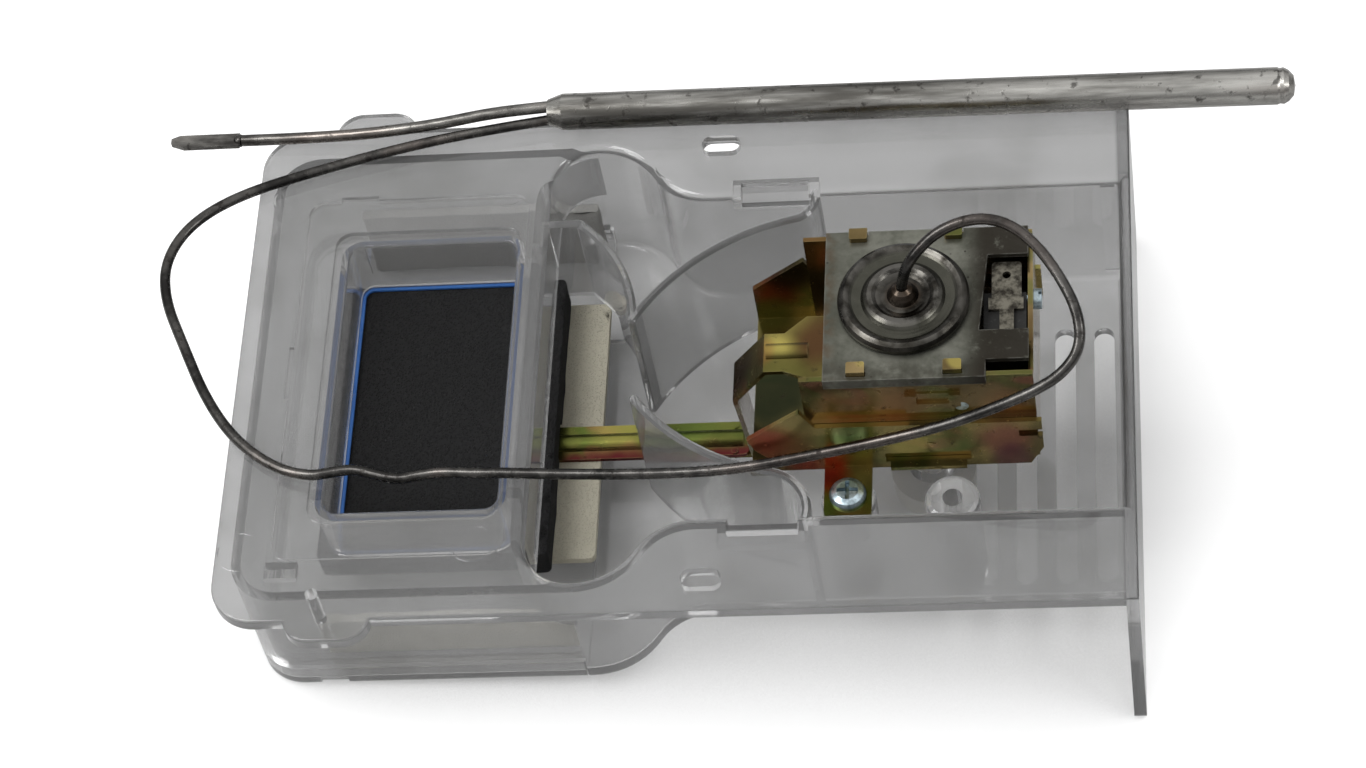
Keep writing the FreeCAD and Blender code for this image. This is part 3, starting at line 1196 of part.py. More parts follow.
doc.recompute()
for thing in doc.Objects:
    if "Invalid" in thing.State or "Error" in thing.State:
        raise RuntimeError("%s (%s) failed: %s" % (thing.Name, thing.Label, thing.State))
for thing in pieces:
    if thing.Shape.isNull() or not thing.Shape.isValid():
        raise RuntimeError("%s has no valid shape" % thing.Label)
os.makedirs("parts", exist_ok=True)
for thing in pieces:
    thing.Shape.exportStep("parts/%s.step" % thing.Label)
    box = thing.Shape.BoundBox
    print("%-18s solids %d volume %9.1f  x %.1f..%.1f y %.1f..%.1f z %.1f..%.1f" % (
        thing.Label, len(thing.Shape.Solids), thing.Shape.Volume, box.XMin, box.XMax, box.YMin, box.YMax,
        box.ZMin, box.ZMax))
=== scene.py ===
# %% [markdown]
# # Capillary thermostat in its clear air-damper housing
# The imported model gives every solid. This script gives it its looks: the bare capillary as one smooth
# line, foam with a soft skin, iridescent plating, tarnished tube and clear moulded plastic.
# Everything is in metres, in the model's own frame.

import json
import math

import bmesh
import bpy
from mathutils import Matrix, Vector, noise


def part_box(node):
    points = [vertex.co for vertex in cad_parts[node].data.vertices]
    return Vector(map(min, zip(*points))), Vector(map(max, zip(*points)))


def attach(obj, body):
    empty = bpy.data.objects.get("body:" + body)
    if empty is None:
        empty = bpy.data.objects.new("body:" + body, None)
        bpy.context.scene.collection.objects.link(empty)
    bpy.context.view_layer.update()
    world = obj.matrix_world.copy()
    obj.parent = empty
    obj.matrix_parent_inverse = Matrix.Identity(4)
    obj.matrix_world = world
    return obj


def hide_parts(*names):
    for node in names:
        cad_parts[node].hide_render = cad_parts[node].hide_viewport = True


MM = 0.001
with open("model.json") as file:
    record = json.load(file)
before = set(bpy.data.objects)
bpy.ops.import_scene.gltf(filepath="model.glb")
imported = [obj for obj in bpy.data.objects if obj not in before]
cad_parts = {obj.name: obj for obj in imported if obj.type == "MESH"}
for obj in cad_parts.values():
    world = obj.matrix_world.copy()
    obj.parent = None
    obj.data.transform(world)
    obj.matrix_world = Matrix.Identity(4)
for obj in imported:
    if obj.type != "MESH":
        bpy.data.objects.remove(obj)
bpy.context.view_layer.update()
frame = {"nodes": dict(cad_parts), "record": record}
nodes = frame["nodes"]

# %% [markdown]
# ## Camera
# The view was worked out from the housing's right angles in the photograph: a long lens, above the front
# edge and a little to the right.

# %% Place the camera
SENSOR = 36.0
FOCAL_PIXELS = 4077.785
IMAGE_WIDTH = 1366
RIGHT = Vector((0.99105, 0.04351, -0.12623))
UP = Vector((0.03449, 0.82989, 0.55686))
BACK = Vector((0.12899, -0.55623, 0.82096))
EYE = Vector((0.10884, -0.50234, 0.72959))

camera = bpy.data.objects.new("camera", bpy.data.cameras.new("camera"))
bpy.context.scene.collection.objects.link(camera)
camera.data.sensor_width = SENSOR
camera.data.lens = FOCAL_PIXELS / IMAGE_WIDTH * SENSOR
camera.data.clip_end = 20
camera.matrix_world = Matrix.Translation(EYE) @ Matrix((RIGHT, UP, BACK)).transposed().to_4x4()
bpy.context.scene.camera = camera
bpy.context.scene.view_settings.view_transform = "Standard"
print("lens %.1f mm" % camera.data.lens)

# %% [markdown]
# ## Node arithmetic
# A `Wire` is one output of a shader node. It can be added, multiplied and mixed like a number, so each
# material below reads as a formula.


# %% Wire: an output socket with arithmetic
class Wire:
    """One output of a node, with arithmetic that adds Math or Vector Math nodes."""

    def __init__(self, tree, socket):
        self.tree, self.socket = tree, socket

    def node(self, kind, output=0, settings=(), **inputs):
        """Add any node; inputs are named by their sockets, with _ for a space."""
        made = self.tree.nodes.new(kind)
        for name, value in dict(settings).items():
            setattr(made, name, value)
        for name, value in inputs.items():
            key = int(name[1:]) if name[0] == "i" and name[1:].isdigit() else name.replace("_", " ")
            self.feed(made.inputs[key], value)
        return Wire(self.tree, made.outputs[output])

    def feed(self, socket, value):
        """Join a wire to a socket, or set the socket's own value."""
        if isinstance(value, Wire):
            self.tree.links.new(value.socket, socket)
        elif hasattr(socket.default_value, "__len__") and not hasattr(value, "__len__"):
            socket.default_value = [value] * len(socket.default_value)
        elif socket.type == "RGBA" and len(value) == 3:
            socket.default_value = [*value, 1.0]
        else:
            socket.default_value = value

    def join(self, operation, left, right):
        """One arithmetic step, on numbers or on vectors and colours."""
        wide = any(isinstance(side, Wire) and side.socket.type in ("VECTOR", "RGBA")
                   or isinstance(side, (tuple, list)) for side in (left, right))
        kind = "ShaderNodeVectorMath" if wide else "ShaderNodeMath"
        return self.node(kind, 0, {"operation": operation}, i0=left, i1=right)

    def __add__(self, other):
        return self.join("ADD", self, other)

    def __radd__(self, other):
        return self.join("ADD", other, self)

    def __sub__(self, other):
        return self.join("SUBTRACT", self, other)

    def __rsub__(self, other):
        return self.join("SUBTRACT", other, self)

    def __mul__(self, other):
        return self.join("MULTIPLY", self, other)

    def __rmul__(self, other):
        return self.join("MULTIPLY", other, self)

    def __truediv__(self, other):
        return self.join("DIVIDE", self, other)

    def __rtruediv__(self, other):
        return self.join("DIVIDE", other, self)

    def ramp(self, low, high):
        """0 below one value, 1 above another, smooth between them."""
        return self.node("ShaderNodeMapRange", 0, {"interpolation_type": "SMOOTHSTEP"}, Value=self,
                         From_Min=low, From_Max=high)

    def blend(self, first, second):
        """From the first colour to the second as this number goes from 0 to 1."""
        return self.node("ShaderNodeMix", 2, {"data_type": "RGBA"}, i0=self, i6=first, i7=second)

    def axis(self, index):
        """One coordinate of a vector."""
        return self.node("ShaderNodeSeparateXYZ", index, Vector=self)

    def length(self):
        """The length of a vector."""
        return self.node("ShaderNodeVectorMath", 1, {"operation": "LENGTH"}, i0=self)

    def grain(self, scale, detail=3.0, rough=0.5, stretch=(1, 1, 1)):
        """Noise between 0 and 1 at this place, scale in cycles per metre."""
        return self.node("ShaderNodeTexNoise", 0, Vector=self * stretch, Scale=scale, Detail=detail,
                         Roughness=rough)

    def cells(self, scale):
        """Distance to the nearest cell point, scale in cells per metre."""
        return self.node("ShaderNodeTexVoronoi", 0, Vector=self, Scale=scale)

    def relief(self, distance, strength=1.0):
        """A bumped normal from this height, distance in metres."""
        return self.node("ShaderNodeBump", 0, Height=self, Distance=distance, Strength=strength)


def material(name):
    """An empty material: its tree's place wire and a function that sets its surface."""
    made = bpy.data.materials.new(name)
    made.use_nodes = True
    tree = made.node_tree
    tree.nodes.clear()
    start = Wire(tree, None)
    place = start.node("ShaderNodeTexCoord", 3)
    output = tree.nodes.new("ShaderNodeOutputMaterial")

    def surface(shader):
        tree.links.new(shader.socket, output.inputs["Surface"])
        return made

    return place, surface


def glaze(place, **inputs):
    """A Principled shader."""
    return place.node("ShaderNodeBsdfPrincipled", 0, **inputs)


def dress(look, *names):
    """Give a material to CAD nodes."""
    for name in names:
        mesh = nodes[name].data
        mesh.materials.clear()
        mesh.materials.append(look)
    print(look.name, "on", ", ".join(names))


# %% [markdown]
# ## Clear moulding
# Clear styrene that has gone grey: each wall takes away part of the light, a little of it is milky, and a
# greasy film and fine scratches soften what is seen through it. The end plate is tinted darker still, as
# painted shade.

# %% Clear plastic on the housing and its tray
EJECTOR_MARKS = ((-100.8, -47.6), (-48.3, 47.7), (-49.7, -46.9), (-97.6, 46.5), (-10.2, 52.5))
SHADED_END_PLATE_X = (0.0886, 0.0894)


def ejector_rings(place):
    """Round marks that the ejector pins left on the flange's top."""
    marks = 0.0
    for x, y in EJECTOR_MARKS:
        radius = ((place - (x * MM, y * MM, 0.0)) * (1, 1, 0)).length()
        marks = marks + radius.ramp(0.0044, 0.0046) * radius.ramp(0.0050, 0.0048)
    return marks * place.axis(2).ramp(-0.0014, -0.0010)


def clear_plastic():
    place, surface = material("clear_plastic")
    smear = place.grain(34, 4, 0.6).ramp(0.42, 0.72)
    scratch = place.grain(900, 2, 0.5, (1, 0.05, 1)).ramp(0.60, 0.70)
    clear = smear.blend((0.59, 0.59, 0.59), (0.49, 0.49, 0.485))
    # The end plate's darker tint is painted shade.
    tint = place.axis(0).ramp(*SHADED_END_PLATE_X).blend(clear, (0.40, 0.40, 0.40))
    wave = place.grain(55, 2) * 0.6 + scratch * 0.03 + ejector_rings(place) * 1.2
    shell = glaze(place, Base_Color=tint, Roughness=smear * 0.06 + scratch * 0.05 + 0.04,
                  Transmission_Weight=0.88, IOR=1.49, Normal=wave.relief(0.00015, 0.3))
    shade = place.node("ShaderNodeBsdfTransparent", 0, Color=(0.86, 0.86, 0.86))
    is_shadow = place.node("ShaderNodeLightPath", 1)
    return surface(place.node("ShaderNodeMixShader", 0, i0=is_shadow, i1=shell, i2=shade))


dress(clear_plastic(), "duct_housing", "bottom_cover")

# %% [markdown]
# ## Plated sheet
# Yellow zinc is a thin film: olive and straw on the flats, fading to green, copper and purple where it is
# thicker. Sharp edges are painted bright, partly worn plating and partly a painted highlight. The cover is a
# dull grey zinc with dark specks and grime round the terminals, and painted shade on its left and front.

# %% Yellow zinc on lever, arm, bracket and frame


def patch(place, centre, radius):
    """1 at a point given in millimetres, fading to 0 at a radius, with an uneven border."""
    away = (place - tuple(value * MM for value in centre)).length()
    return (away + place.grain(95, 2) * 0.006 - 0.003).ramp(radius * MM, radius * 0.25 * MM)


# Sharp edges, for a bright edge colour that is partly wear and partly a painted highlight.
def edge_wear_and_sheen(place, radius):
    """1 along sharp edges, 0 on flats, broken up by noise."""
    normal = place.node("ShaderNodeNewGeometry", 1)
    softened = place.node("ShaderNodeBevel", 0, {"samples": 4}, Radius=radius)
    agree = normal.node("ShaderNodeVectorMath", 1, {"operation": "DOT_PRODUCT"}, i0=normal, i1=softened)
    return (1 - agree).ramp(0.03, 0.20) * place.grain(380, 3).ramp(0.30, 0.60)


def yellow_zinc(name, deep, gold, patches):
    place, surface = material(name)
    film = place.grain(48, 2, 0.45, (1.0, 0.8, 1.2))
    cloud = place.grain(210, 3, 0.55)
    tone = (film * 0.8 + cloud * 0.2).ramp(0.36, 0.64).blend(deep, gold)
    fringe = place.grain(75, 2, 0.4, (0.7, 1, 1.4))
    tone = (fringe.ramp(0.50, 0.56) * fringe.ramp(0.64, 0.58) * 0.45).blend(tone, GREEN)
    tone = (fringe.ramp(0.58, 0.63) * fringe.ramp(0.72, 0.66) * 0.45).blend(tone, PINK)
    for centre, radius, strength, colour in patches:
        tone = (patch(place, centre, radius) * strength).blend(tone, colour)
    dirt = place.grain(420, 5, 0.7).ramp(0.58, 0.72)
    stained = (dirt * 0.65).blend(tone, (0.03, 0.024, 0.016))
    # Bright edges: partly worn plating, partly a painted highlight.
    bright = (edge_wear_and_sheen(place, 0.0004) * 0.40).blend(stained, (0.42, 0.35, 0.16))
    height = place.grain(1500, 2, 0.5, (1, 0.15, 1)) * 0.3 + dirt * 0.3 + cloud * 0.25
    return surface(glaze(place, Base_Color=bright, Metallic=0.9, Roughness=film * 0.10 + dirt * 0.25 + 0.13,
                         Normal=height.relief(0.00007, 0.5)))


# %% Patches on the plating, each a centre and a radius in millimetres, a strength and a colour: mostly stains, with some painted highlights, painted shade and a painted reflection
GREEN, RED, COPPER, PURPLE = (0.07, 0.13, 0.02), (0.34, 0.03, 0.015), (0.30, 0.12, 0.04), (0.12, 0.02, 0.05)
STRAW, BROWN, OLIVE, PINK = (0.55, 0.46, 0.12), (0.045, 0.02, 0.01), (0.13, 0.125, 0.03), (0.30, 0.09, 0.07)
NIGHT, WINE, UMBER = (0.012, 0.018, 0.008), (0.10, 0.012, 0.016), (0.10, 0.045, 0.02)
# The straw patch on the lever's top ridge is a painted highlight.
LEVER_STAINS_AND_HIGHLIGHT = [
    ((18, -11, 19), 5, 0.85, STRAW), ((26, -10, 18), 9, 0.85, UMBER), ((18, -18, 18), 7, 0.7, OLIVE),
    ((14, -12, 18), 4, 0.4, COPPER), ((8, -12, 8), 9, 0.9, BROWN), ((6, -10, -2), 12, 0.85, UMBER),
    ((4, -5, -14), 10, 0.7, UMBER),
]
ARM_STAINS_AND_REFLECTION = [((-24, -2, -27), 9, 0.45, STRAW), ((-8, -2, -27), 8, 0.5, GREEN)]
# The wine-red row along the arm's front edge is a painted reflection.
ARM_STAINS_AND_REFLECTION += [((x, -11, -27), 6, 1.0, WINE) for x in range(-34, 7, 5)]
# The near-black patch on the base under the frame is painted shade; the dark green spot at its front is a
# painted reflection.
BRACKET_STAINS_SHADE_AND_GLEAM = [
    ((13, -28, 4), 10, 0.75, RED), ((22, -28, -3), 8, 0.8, RED), ((20, -28, 4), 7, 0.5, COPPER),
    ((32, -28, 4), 10, 0.6, GREEN), ((27, -31, -5), 6, 0.9, RED), ((25, -37, -5), 5, 0.7, GREEN),
    ((36, -37, -5), 4, 0.5, GREEN), ((44, -28, 3), 6, 0.6, STRAW), ((54, -28, 2), 6, 0.6, GREEN),
    ((64, -28, 5), 9, 0.7, PINK), ((66, -28, -3), 6, 0.6, PURPLE), ((14, 12, 5), 8, 0.9, (0.22, 0.03, 0.01)),
    ((18, 12, 11), 8, 0.8, BROWN), ((13, 12, -2), 7, 0.7, OLIVE), ((14, -8, -5), 17, 0.95, NIGHT),
    ((18, -22, -5), 6, 0.7, (0.05, 0.12, 0.03)), ((73, 0, 4), 12, 0.4, GREEN),
]
# The two small straw spots on the crimp tabs are painted highlights.
FRAME_STAINS_AND_HIGHLIGHTS = [
    ((40, -26, 12), 14, 0.5, COPPER), ((27, -26, 18), 8, 0.5, OLIVE), ((66, -26, 14), 8, 0.6, COPPER),
    ((71.6, -16, 10), 20, 0.85, UMBER), ((24, 11, 20), 8, 0.7, COPPER), ((23, 10, 6), 12, 0.8, BROWN),
    ((36, -23, 27), 2.5, 0.5, STRAW), ((56, -23, 27), 2.5, 0.5, STRAW), ((50, -27, 11), 9, 0.35, OLIVE),
    ((30, -26, 15), 7, 0.6, COPPER),
]
dress(yellow_zinc("zinc_lever", (0.08, 0.066, 0.018), (0.23, 0.19, 0.055), LEVER_STAINS_AND_HIGHLIGHT), "main_lever")
dress(yellow_zinc("zinc_arm", (0.065, 0.085, 0.015), (0.16, 0.175, 0.04), ARM_STAINS_AND_REFLECTION),
      "damper_arm", "arm_rivets")
dress(yellow_zinc("zinc_bracket", (0.13, 0.102, 0.033), (0.38, 0.30, 0.105), BRACKET_STAINS_SHADE_AND_GLEAM),
      "bracket")
dress(yellow_zinc("zinc_frame", (0.13, 0.092, 0.036), (0.33, 0.24, 0.11), FRAME_STAINS_AND_HIGHLIGHTS),
      "thermostat_frame")

# %% Grey zinc on the cover


def grey_zinc():
    place, surface = material("grey_zinc")
    cloud = place.grain(90, 4, 0.6)
    fine = place.grain(700, 4, 0.65)
    speck = place.cells(420).ramp(0.14, 0.08) * place.grain(140, 2).ramp(0.45, 0.6)
    lines = place.grain(260, 3, 0.6, (1, 0.06, 1)).ramp(0.5, 0.75)
    grime = place.axis(0).ramp(0.055, 0.062) * place.grain(240, 5, 0.7).ramp(0.24, 0.46)
    # Painted shade: the cover's colour is darkened towards its left.
    left_shade = place.axis(0).ramp(0.040, 0.024) * 0.55
    left_rust = place.axis(0).ramp(0.031, 0.028) * place.grain(300, 4).ramp(0.4, 0.6)
    plate = (cloud * 0.7 + fine * 0.3).ramp(0.3, 0.7).blend((0.090, 0.094, 0.073), (0.225, 0.225, 0.190))
    brushed_and_shaded = left_shade.blend((lines * 0.20).blend(plate, (0.22, 0.22, 0.19)), (0.07, 0.07, 0.055))
    specked = (speck * 0.8).blend(brushed_and_shaded, (0.02, 0.018, 0.015))
    rusted = (left_rust * 0.5).blend(specked, (0.10, 0.06, 0.03))
    # Painted shade: the cover's colour is darkened along its front.
    front = place.axis(1).ramp(-0.0190, -0.0245) * place.grain(210, 4, 0.6).ramp(0.30, 0.55)
    shaded = (front * 0.6).blend(rusted, (0.04, 0.036, 0.026))
    dirty = (grime * 0.9).blend(shaded, (0.022, 0.017, 0.012))
    # Bright edges: partly rubbed metal, partly a painted highlight.
    worn_and_sheen = (edge_wear_and_sheen(place, 0.0005) * 0.4).blend(dirty, (0.40, 0.40, 0.36))
    height = cloud * 0.3 + speck * -0.4 + fine * 0.3
    return surface(glaze(place, Base_Color=worn_and_sheen, Metallic=0.8, Roughness=cloud * 0.2 + grime * 0.3 + 0.26,
                         Normal=height.relief(0.00006, 0.5)))


dress(grey_zinc(), "cover_plate")

# %% [markdown]
# ## Steel pieces
# The capsule's rings are dark turned steel, with a painted highlight on the crests at the top. The bulb and
# tube are tarnished, with brown streaks along their length.

# %% Steel on the capsule, the tubes and the small pieces
CAPSULE_AXIS = (0.0445, -0.0065, 0.0)
TURNED_LINES = 6400


def ring_steel():
    place, surface = material("ring_steel")
    radius = ((place - CAPSULE_AXIS) * (1, 1, 0)).length()
    lathe = radius.node("ShaderNodeMath", 0, {"operation": "SINE"}, i0=radius * TURNED_LINES) * 0.5 + 0.5
    stain = place.grain(150, 5, 0.65)
    # Painted highlight along the top crests of the capsule.
    crest_highlight = place.axis(2).ramp(0.0278, 0.0292) * place.grain(260, 3).ramp(0.35, 0.6)
    land = radius.ramp(0.0075, 0.0085) * radius.ramp(0.0118, 0.0108)
    tone = stain.ramp(0.35, 0.65).blend((0.014, 0.013, 0.011), (0.058, 0.054, 0.046))
    grey = (land * 0.6).blend(tone, (0.10, 0.10, 0.08))
    bright = (crest_highlight * 0.45).blend(grey, (0.26, 0.25, 0.23))
    brown = (radius.ramp(0.0045, 0.0025) * 0.7).blend(bright, (0.055, 0.035, 0.022))
    height = lathe * 0.5 + place.grain(900, 3) * 0.6
    return surface(glaze(place, Base_Color=brown, Metallic=1.0, Roughness=stain * 0.25 + 0.14,
                         Normal=height.relief(0.00005, 0.5)))


dress(ring_steel(), "capsule_cup", "diaphragm_disc")


def tube_steel(name, along, deep, pale, streak):
    place, surface = material(name)
    run = place.grain(120, 4, 0.6, along)
    fine = place.grain(800, 3, 0.6, along)
    spot = place.grain(330, 5, 0.65).ramp(0.57, 0.68)
    tone = (run * 0.75 + fine * 0.25).ramp(0.34, 0.66).blend(deep, pale)
    brown = (place.grain(60, 3, 0.6, along).ramp(0.50, 0.62) * streak).blend(tone, (0.10, 0.05, 0.032))
    dark = (spot * 0.75).blend(brown, (0.022, 0.019, 0.017))
    return surface(glaze(place, Base_Color=dark, Metallic=0.95, Roughness=fine * 0.2 + spot * 0.25 + 0.16,
                         Normal=(fine + spot * 0.6).relief(0.00006, 0.6)))


bulb_steel = tube_steel("bulb_steel", (0.10, 1, 1), (0.11, 0.105, 0.095), (0.56, 0.55, 0.52), 0.4)
line_steel = tube_steel("line_steel", (0.6, 0.6, 1), (0.026, 0.025, 0.024), (0.125, 0.12, 0.113), 0.15)
stub_steel = tube_steel("stub_steel", (0.3, 1, 1), (0.05, 0.047, 0.044), (0.32, 0.31, 0.29), 0.3)
dress(bulb_steel, "sensing_bulb")
dress(stub_steel, "charge_stub")
dress(line_steel, "capillary")


def bright_zinc():
    place, surface = material("bright_zinc")
    wear = place.grain(620, 4, 0.6)
    low = place.axis(2).ramp(-0.0032, -0.0042)
    tone = wear.ramp(0.35, 0.65).blend((0.26, 0.33, 0.37), (0.60, 0.72, 0.78))
    shaded = (low * 0.6).blend(tone, (0.06, 0.09, 0.10))
    return surface(glaze(place, Base_Color=shaded, Metallic=0.9, Roughness=wear * 0.16 + 0.24,
                         Normal=wear.relief(0.00005, 0.5)))


dress(bright_zinc(), "mounting_screw", "trim_screw", "hinge_pin", "range_spring")


def tarnished_brass():
    place, surface = material("tarnished_brass")
    stain = place.grain(420, 5, 0.65)
    tone = stain.ramp(0.35, 0.65).blend((0.03, 0.026, 0.02), (0.22, 0.205, 0.165))
    return surface(glaze(place, Base_Color=tone, Metallic=0.85, Roughness=stain * 0.3 + 0.24,
                         Normal=stain.relief(0.00006, 0.6)))


dress(tarnished_brass(), "terminal_upper", "terminal_lower", "contact_blade", "fixed_contact")

# %% [markdown]
# ## Plastics
# The terminal base is black phenolic with a chalky film. Pin, cam, spindle and knob are moulded in an
# off-white plastic.

# %% Black base, off-white moulded pieces and the blue seal


def moulded(name, deep, pale, rough):
    place, surface = material(name)
    flow = place.grain(110, 4, 0.6)
    dust = place.grain(900, 3, 0.6).ramp(0.55, 0.75)
    tone = flow.blend(deep, pale)
    dusty = (dust * 0.10).blend(tone, (0.30, 0.29, 0.27))
    return surface(glaze(place, Base_Color=dusty, Roughness=flow * 0.15 + rough, Specular_IOR_Level=0.35,
                         Normal=(flow * 0.5 + dust * 0.2).relief(0.00008, 0.4)))


dress(moulded("black_base", (0.008, 0.008, 0.007), (0.02, 0.019, 0.018), 0.5), "terminal_base")
dress(moulded("off_white", (0.62, 0.61, 0.57), (0.74, 0.73, 0.70), 0.32), "push_pin", "cam", "spindle",
      "setting_knob")
dress(moulded("seal_blue", (0.015, 0.07, 0.26), (0.04, 0.15, 0.42), 0.5), "seat_seal")

# %% [markdown]
# ## Foam
# The flap's pad is black foam, its board and the strips in the tray are cream foam. The front strip's foam
# is painted lighter, as painted light, and the back strip's a darker grey, as painted shade. Each is a
# closed soft
# block made from its solid: corners rounded, faces faintly uneven, cut cells on the skin.

# %% Foam materials


def foam(name, deep, pale, cell, gloss):
    place, surface = material(name)
    pores = place.cells(cell).ramp(0.05, 0.55)
    fade = place.grain(45, 3)
    speckle = place.grain(cell * 0.7, 4, 0.7)
    tone = (pores * 0.6 + speckle * 0.5).blend(deep, pale)
    aged = (fade * 0.25).blend(tone, [0.8 * channel for channel in pale])
    return surface(glaze(place, Base_Color=aged, Roughness=pores * 0.1 + 0.86, Specular_IOR_Level=gloss,
                         Normal=(pores + speckle * 0.6).relief(0.00025, 0.7)))


black_foam = foam("black_foam", (0.002, 0.002, 0.002), (0.024, 0.024, 0.0245), 2000, 0.12)
# A lighter copy of the cream foam, as painted light, and a darker grey copy, as painted shade, for the
# tray's strips.
lit_cream_foam = foam("lit_cream_foam", (0.72, 0.69, 0.60), (0.86, 0.83, 0.73), 2200, 0.3)
shaded_foam = foam("shaded_foam", (0.24, 0.24, 0.23), (0.34, 0.335, 0.32), 2200, 0.3)
cream_foam = foam("cream_foam", (0.42, 0.395, 0.31), (0.55, 0.52, 0.42), 2200, 0.3)

# %% Foam pieces that replace their solids
SHARP = math.radians(50)
LONGEST_EDGE = 0.0035
SPLIT_ROUNDS = 5
SKIN_SCALE = 160


def foam_piece(node, look, round_edge, lump, seed):
    """A foam block cut from the node's own mesh, with rounded corners and an uneven skin."""
    low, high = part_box(node)
    mesh = nodes[node].data.copy()
    mesh.name = node + "_foam"
    work = bmesh.new()
    work.from_mesh(mesh)
    bmesh.ops.remove_doubles(work, verts=work.verts, dist=1e-6)
    bmesh.ops.dissolve_limit(work, angle_limit=math.radians(2), verts=work.verts, edges=work.edges)
    sharp = [edge for edge in work.edges if len(edge.link_faces) == 2
             and edge.calc_face_angle(0) > SHARP]
    bmesh.ops.bevel(work, geom=sharp, offset=round_edge, segments=2, profile=0.6, affect="EDGES",
                    clamp_overlap=True)
    bmesh.ops.triangulate(work, faces=work.faces)
    for _ in range(SPLIT_ROUNDS):
        long_edges = [edge for edge in work.edges if edge.calc_length() > LONGEST_EDGE]
        if not long_edges:
            break
        bmesh.ops.subdivide_edges(work, edges=long_edges, cuts=1, use_grid_fill=False)
        bmesh.ops.triangulate(work, faces=work.faces)
    work.normal_update()
    for vert in work.verts:
        swell = noise.fractal(vert.co * SKIN_SCALE + Vector((seed, 0, 0)), 1.0, 2.0, 3)
        vert.co += vert.normal * min(0.0, lump * (swell - 0.6))
    for vert in work.verts:
        vert.co = Vector([min(max(vert.co[i], low[i]), high[i]) for i in range(3)])
    work.to_mesh(mesh)
    work.free()
    mesh.materials.clear()
    mesh.materials.append(look)
    mesh.shade_smooth()
    made = bpy.data.objects.new(node + "_foam", mesh)
    bpy.context.scene.collection.objects.link(made)
    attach(made, frame_body(node))
    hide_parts(node)
    print(made.name, len(mesh.polygons), "faces")


def frame_body(node):
    """The body that holds a node."""
    return next(body for body, names in frame["record"]["behaviour"]["bodies"].items() if node in names)


foam_piece("damper_pad", black_foam, 0.0004, 0.00025, 3)
foam_piece("damper_board", cream_foam, 0.0003, 0.00005, 11)
foam_piece("foam_strip_front", lit_cream_foam, 0.0005, 0.0003, 23)
foam_piece("foam_strip_back", shaded_foam, 0.0005, 0.0003, 31)

# %% [markdown]
# ## Capillary
# One smooth line through the model's own route, from the capsule's boss round to the bulb's neck.

# %% The bare capillary
ROUTE_MM = [
    (44.5, -6.5, 31.5),
    (45.3, -6.3, 36.6),
    (48.4, -4.4, 41.2),
    (53.5, -1.5, 44.4),
    (60.9, 0.1, 46.0),
    (67.5, -1.2, 45.6),
    (73.3, -5.5, 43.6),
    (78.1, -11.8, 40.6),
    (81.7, -19.0, 37.4),
    (82.0, -25.0, 33.4),
    (77.9, -28.9, 29.6),
    (71.5, -30.7, 26.0),
    (63.1, -31.9, 22.2),
    (53.1, -32.6, 17.6),
    (40.8, -32.7, 13.0),
    (24.6, -33.8, 9.6),
    (6.9, -35.4, 7.2),
    (-11.0, -34.8, 5.6),
    (-31.3, -33.2, 4.4),
    (-42.5, -32.2, 4.0),
    (-50.5, -31.7, 3.6),
    (-56.6, -31.0, 3.3),
    (-61.4, -31.2, 2.9),
    (-66.5, -32.1, 2.6),
    (-71.9, -30.4, 2.3),
    (-76.8, -28.7, 2.1),
    (-81.6, -29.3, 2.0),
    (-86.6, -30.1, 1.9),
    (-94.5, -27.6, 1.8),
    (-104.2, -19.9, 1.7),
    (-112.0, -8.6, 1.9),
    (-118.6, 5.8, 2.1),
    (-124.2, 18.3, 2.2),
    (-125.4, 29.2, 2.2),
    (-120.6, 39.4, 2.1),
    (-110.0, 47.0, 2.0),
    (-92.5, 53.0, 2.0),
    (-73.7, 58.2, 2.3),
    (-55.4, 61.6, 3.0),
    (-39.5, 63.8, 3.2),
]
TUBE_RADIUS = 1.2 * MM

line = bpy.data.curves.new("capillary_line", "CURVE")
line.dimensions = "3D"
line.bevel_depth = TUBE_RADIUS
line.bevel_resolution = 6
line.resolution_u = 10
line.use_fill_caps = True
spline = line.splines.new("NURBS")
spline.points.add(len(ROUTE_MM) - 1)
for point, (x, y, z) in zip(spline.points, ROUTE_MM):
    point.co = (x * MM, y * MM, z * MM, 1)
spline.order_u = 3
spline.use_endpoint_u = True
line.materials.append(line_steel)
capillary = bpy.data.objects.new("capillary_line", line)
bpy.context.scene.collection.objects.link(capillary)
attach(capillary, "housing")
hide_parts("capillary")
[value * MM for value in ROUTE_MM[0]]
print("capillary points:", len(ROUTE_MM))

# %% [markdown]
# ## Stage and light
# A white floor that touches the tray and the end plate, with a painted shadow under the object, a white
# surround, and soft light from above.

# %% Floor, world and lamps
LEFT_FOOT = Vector((-0.1026, 0, -0.0387))
RIGHT_FOOT = Vector((0.092, 0, -0.0522))
FLOOR_SIZE = 6
FLOOR_STEPS = 24


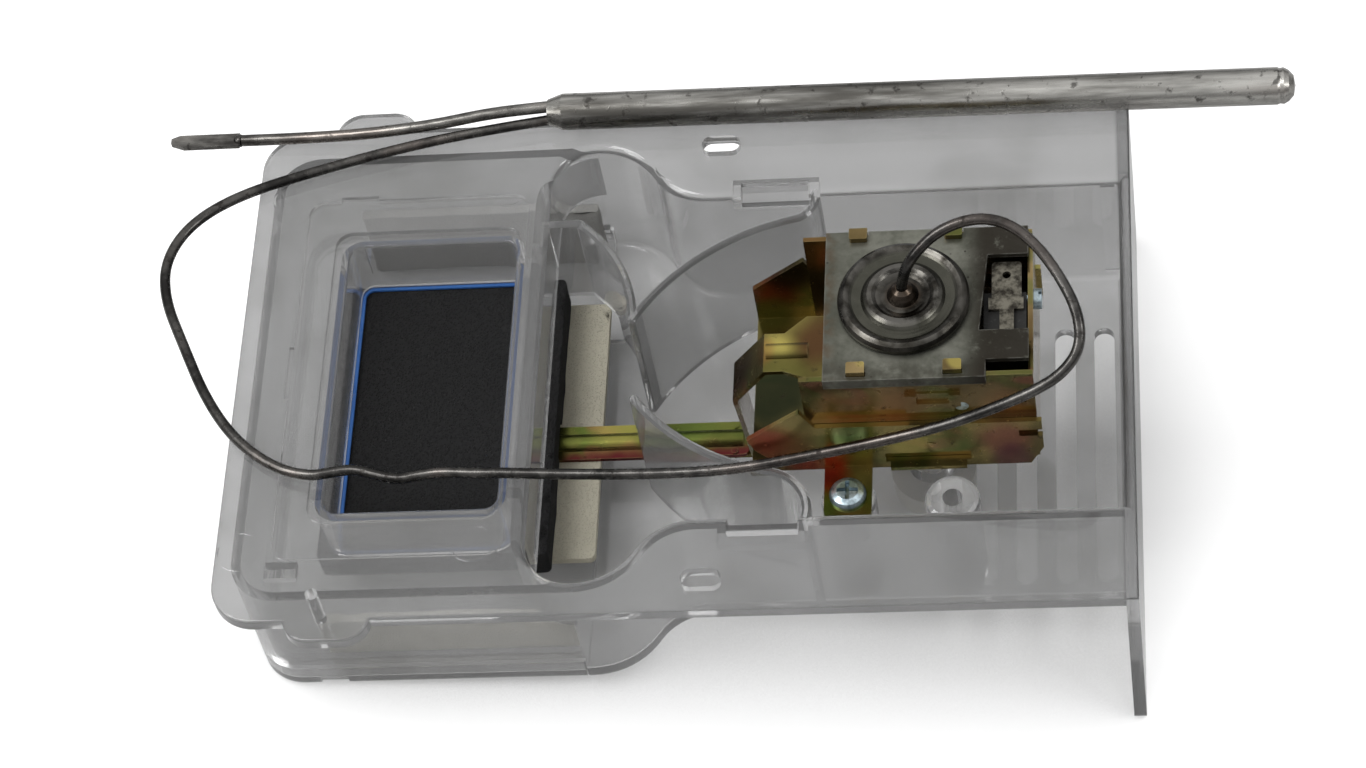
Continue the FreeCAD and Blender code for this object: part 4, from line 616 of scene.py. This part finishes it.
def stage_floor():
    """A wide white floor through the two lines that the object stands on."""
    slope = (RIGHT_FOOT - LEFT_FOOT).normalized()
    across = Vector((0, 1, 0))
    middle = (LEFT_FOOT + RIGHT_FOOT) / 2
    places = [FLOOR_SIZE * (step / FLOOR_STEPS - 0.5) for step in range(FLOOR_STEPS + 1)]
    work = bmesh.new()
    grid = [[work.verts.new(middle + slope * u + across * v) for v in places] for u in places]
    for i in range(FLOOR_STEPS):
        for j in range(FLOOR_STEPS):
            work.faces.new((grid[i][j], grid[i + 1][j], grid[i + 1][j + 1], grid[i][j + 1]))
    mesh = bpy.data.meshes.new("floor")
    work.to_mesh(mesh)
    work.free()
    made = bpy.data.objects.new("floor", mesh)
    bpy.context.scene.collection.objects.link(made)
    place, surface = material("floor_white")
    paper = place.grain(30, 2)
    matt = glaze(place, Base_Color=paper.blend((0.66, 0.66, 0.66), (0.68, 0.68, 0.68)), Roughness=0.9,
                 Specular_IOR_Level=0.0)
    seen = place.node("ShaderNodeLightPath", 0)
    glossy = place.node("ShaderNodeLightPath", 3)
    through = place.node("ShaderNodeLightPath", 6)
    # Painted shadow: the floor's white glow fades out under the object by ambient occlusion.
    outside_painted_shadow = place.node("ShaderNodeAmbientOcclusion", 1, {"samples": 4}, Distance=0.12).ramp(0.25, 0.75)
    direct = seen * outside_painted_shadow * 0.68 + glossy * 0.06 + through * 0.02
    glow = place.node("ShaderNodeEmission", 0, Color=(1, 1, 1), Strength=direct)
    mesh.materials.append(surface(place.node("ShaderNodeAddShader", 0, i0=matt, i1=glow)))


def white_world():
    """A white surround for what is seen, a plainer level for what is lit."""
    world = bpy.data.worlds.new("studio")
    bpy.context.scene.world = world
    world.use_nodes = True
    tree = world.node_tree
    tree.nodes.clear()
    start = Wire(tree, None)
    seen = start.node("ShaderNodeLightPath", 0)
    glossy = start.node("ShaderNodeLightPath", 3)
    through = start.node("ShaderNodeLightPath", 6)
    height = start.node("ShaderNodeTexCoord", 0).axis(2)
    overhead = height.ramp(-0.1, 0.9)
    strength = 0.38 + seen * 0.62 + through * 0.30 + glossy * (overhead * 0.75 - 0.22)
    sky = start.node("ShaderNodeBackground", 0, Color=(1, 1, 1), Strength=strength)
    tree.links.new(sky.socket, tree.nodes.new("ShaderNodeOutputWorld").inputs["Surface"])


def lamp(name, where, aim, size, power):
    """A soft square lamp aimed at a point."""
    light = bpy.data.lights.new(name, "AREA")
    light.size = size
    light.energy = power
    made = bpy.data.objects.new(name, light)
    made.location = where
    made.rotation_euler = (Vector(aim) - Vector(where)).to_track_quat("-Z", "Y").to_euler()
    bpy.context.scene.collection.objects.link(made)


stage_floor()
white_world()
lamp("softbox_top", (-0.55, -0.10, 1.0), (0, 0, 0), 0.5, 6.0)
lamp("softbox_left", (-0.9, -0.4, 0.7), (0, 0, 0), 0.4, 3.0)
lamp("softbox_right", (0.9, -0.3, 0.6), (0, 0, 0), 0.3, 1.8)
print("stage and lamps ready")
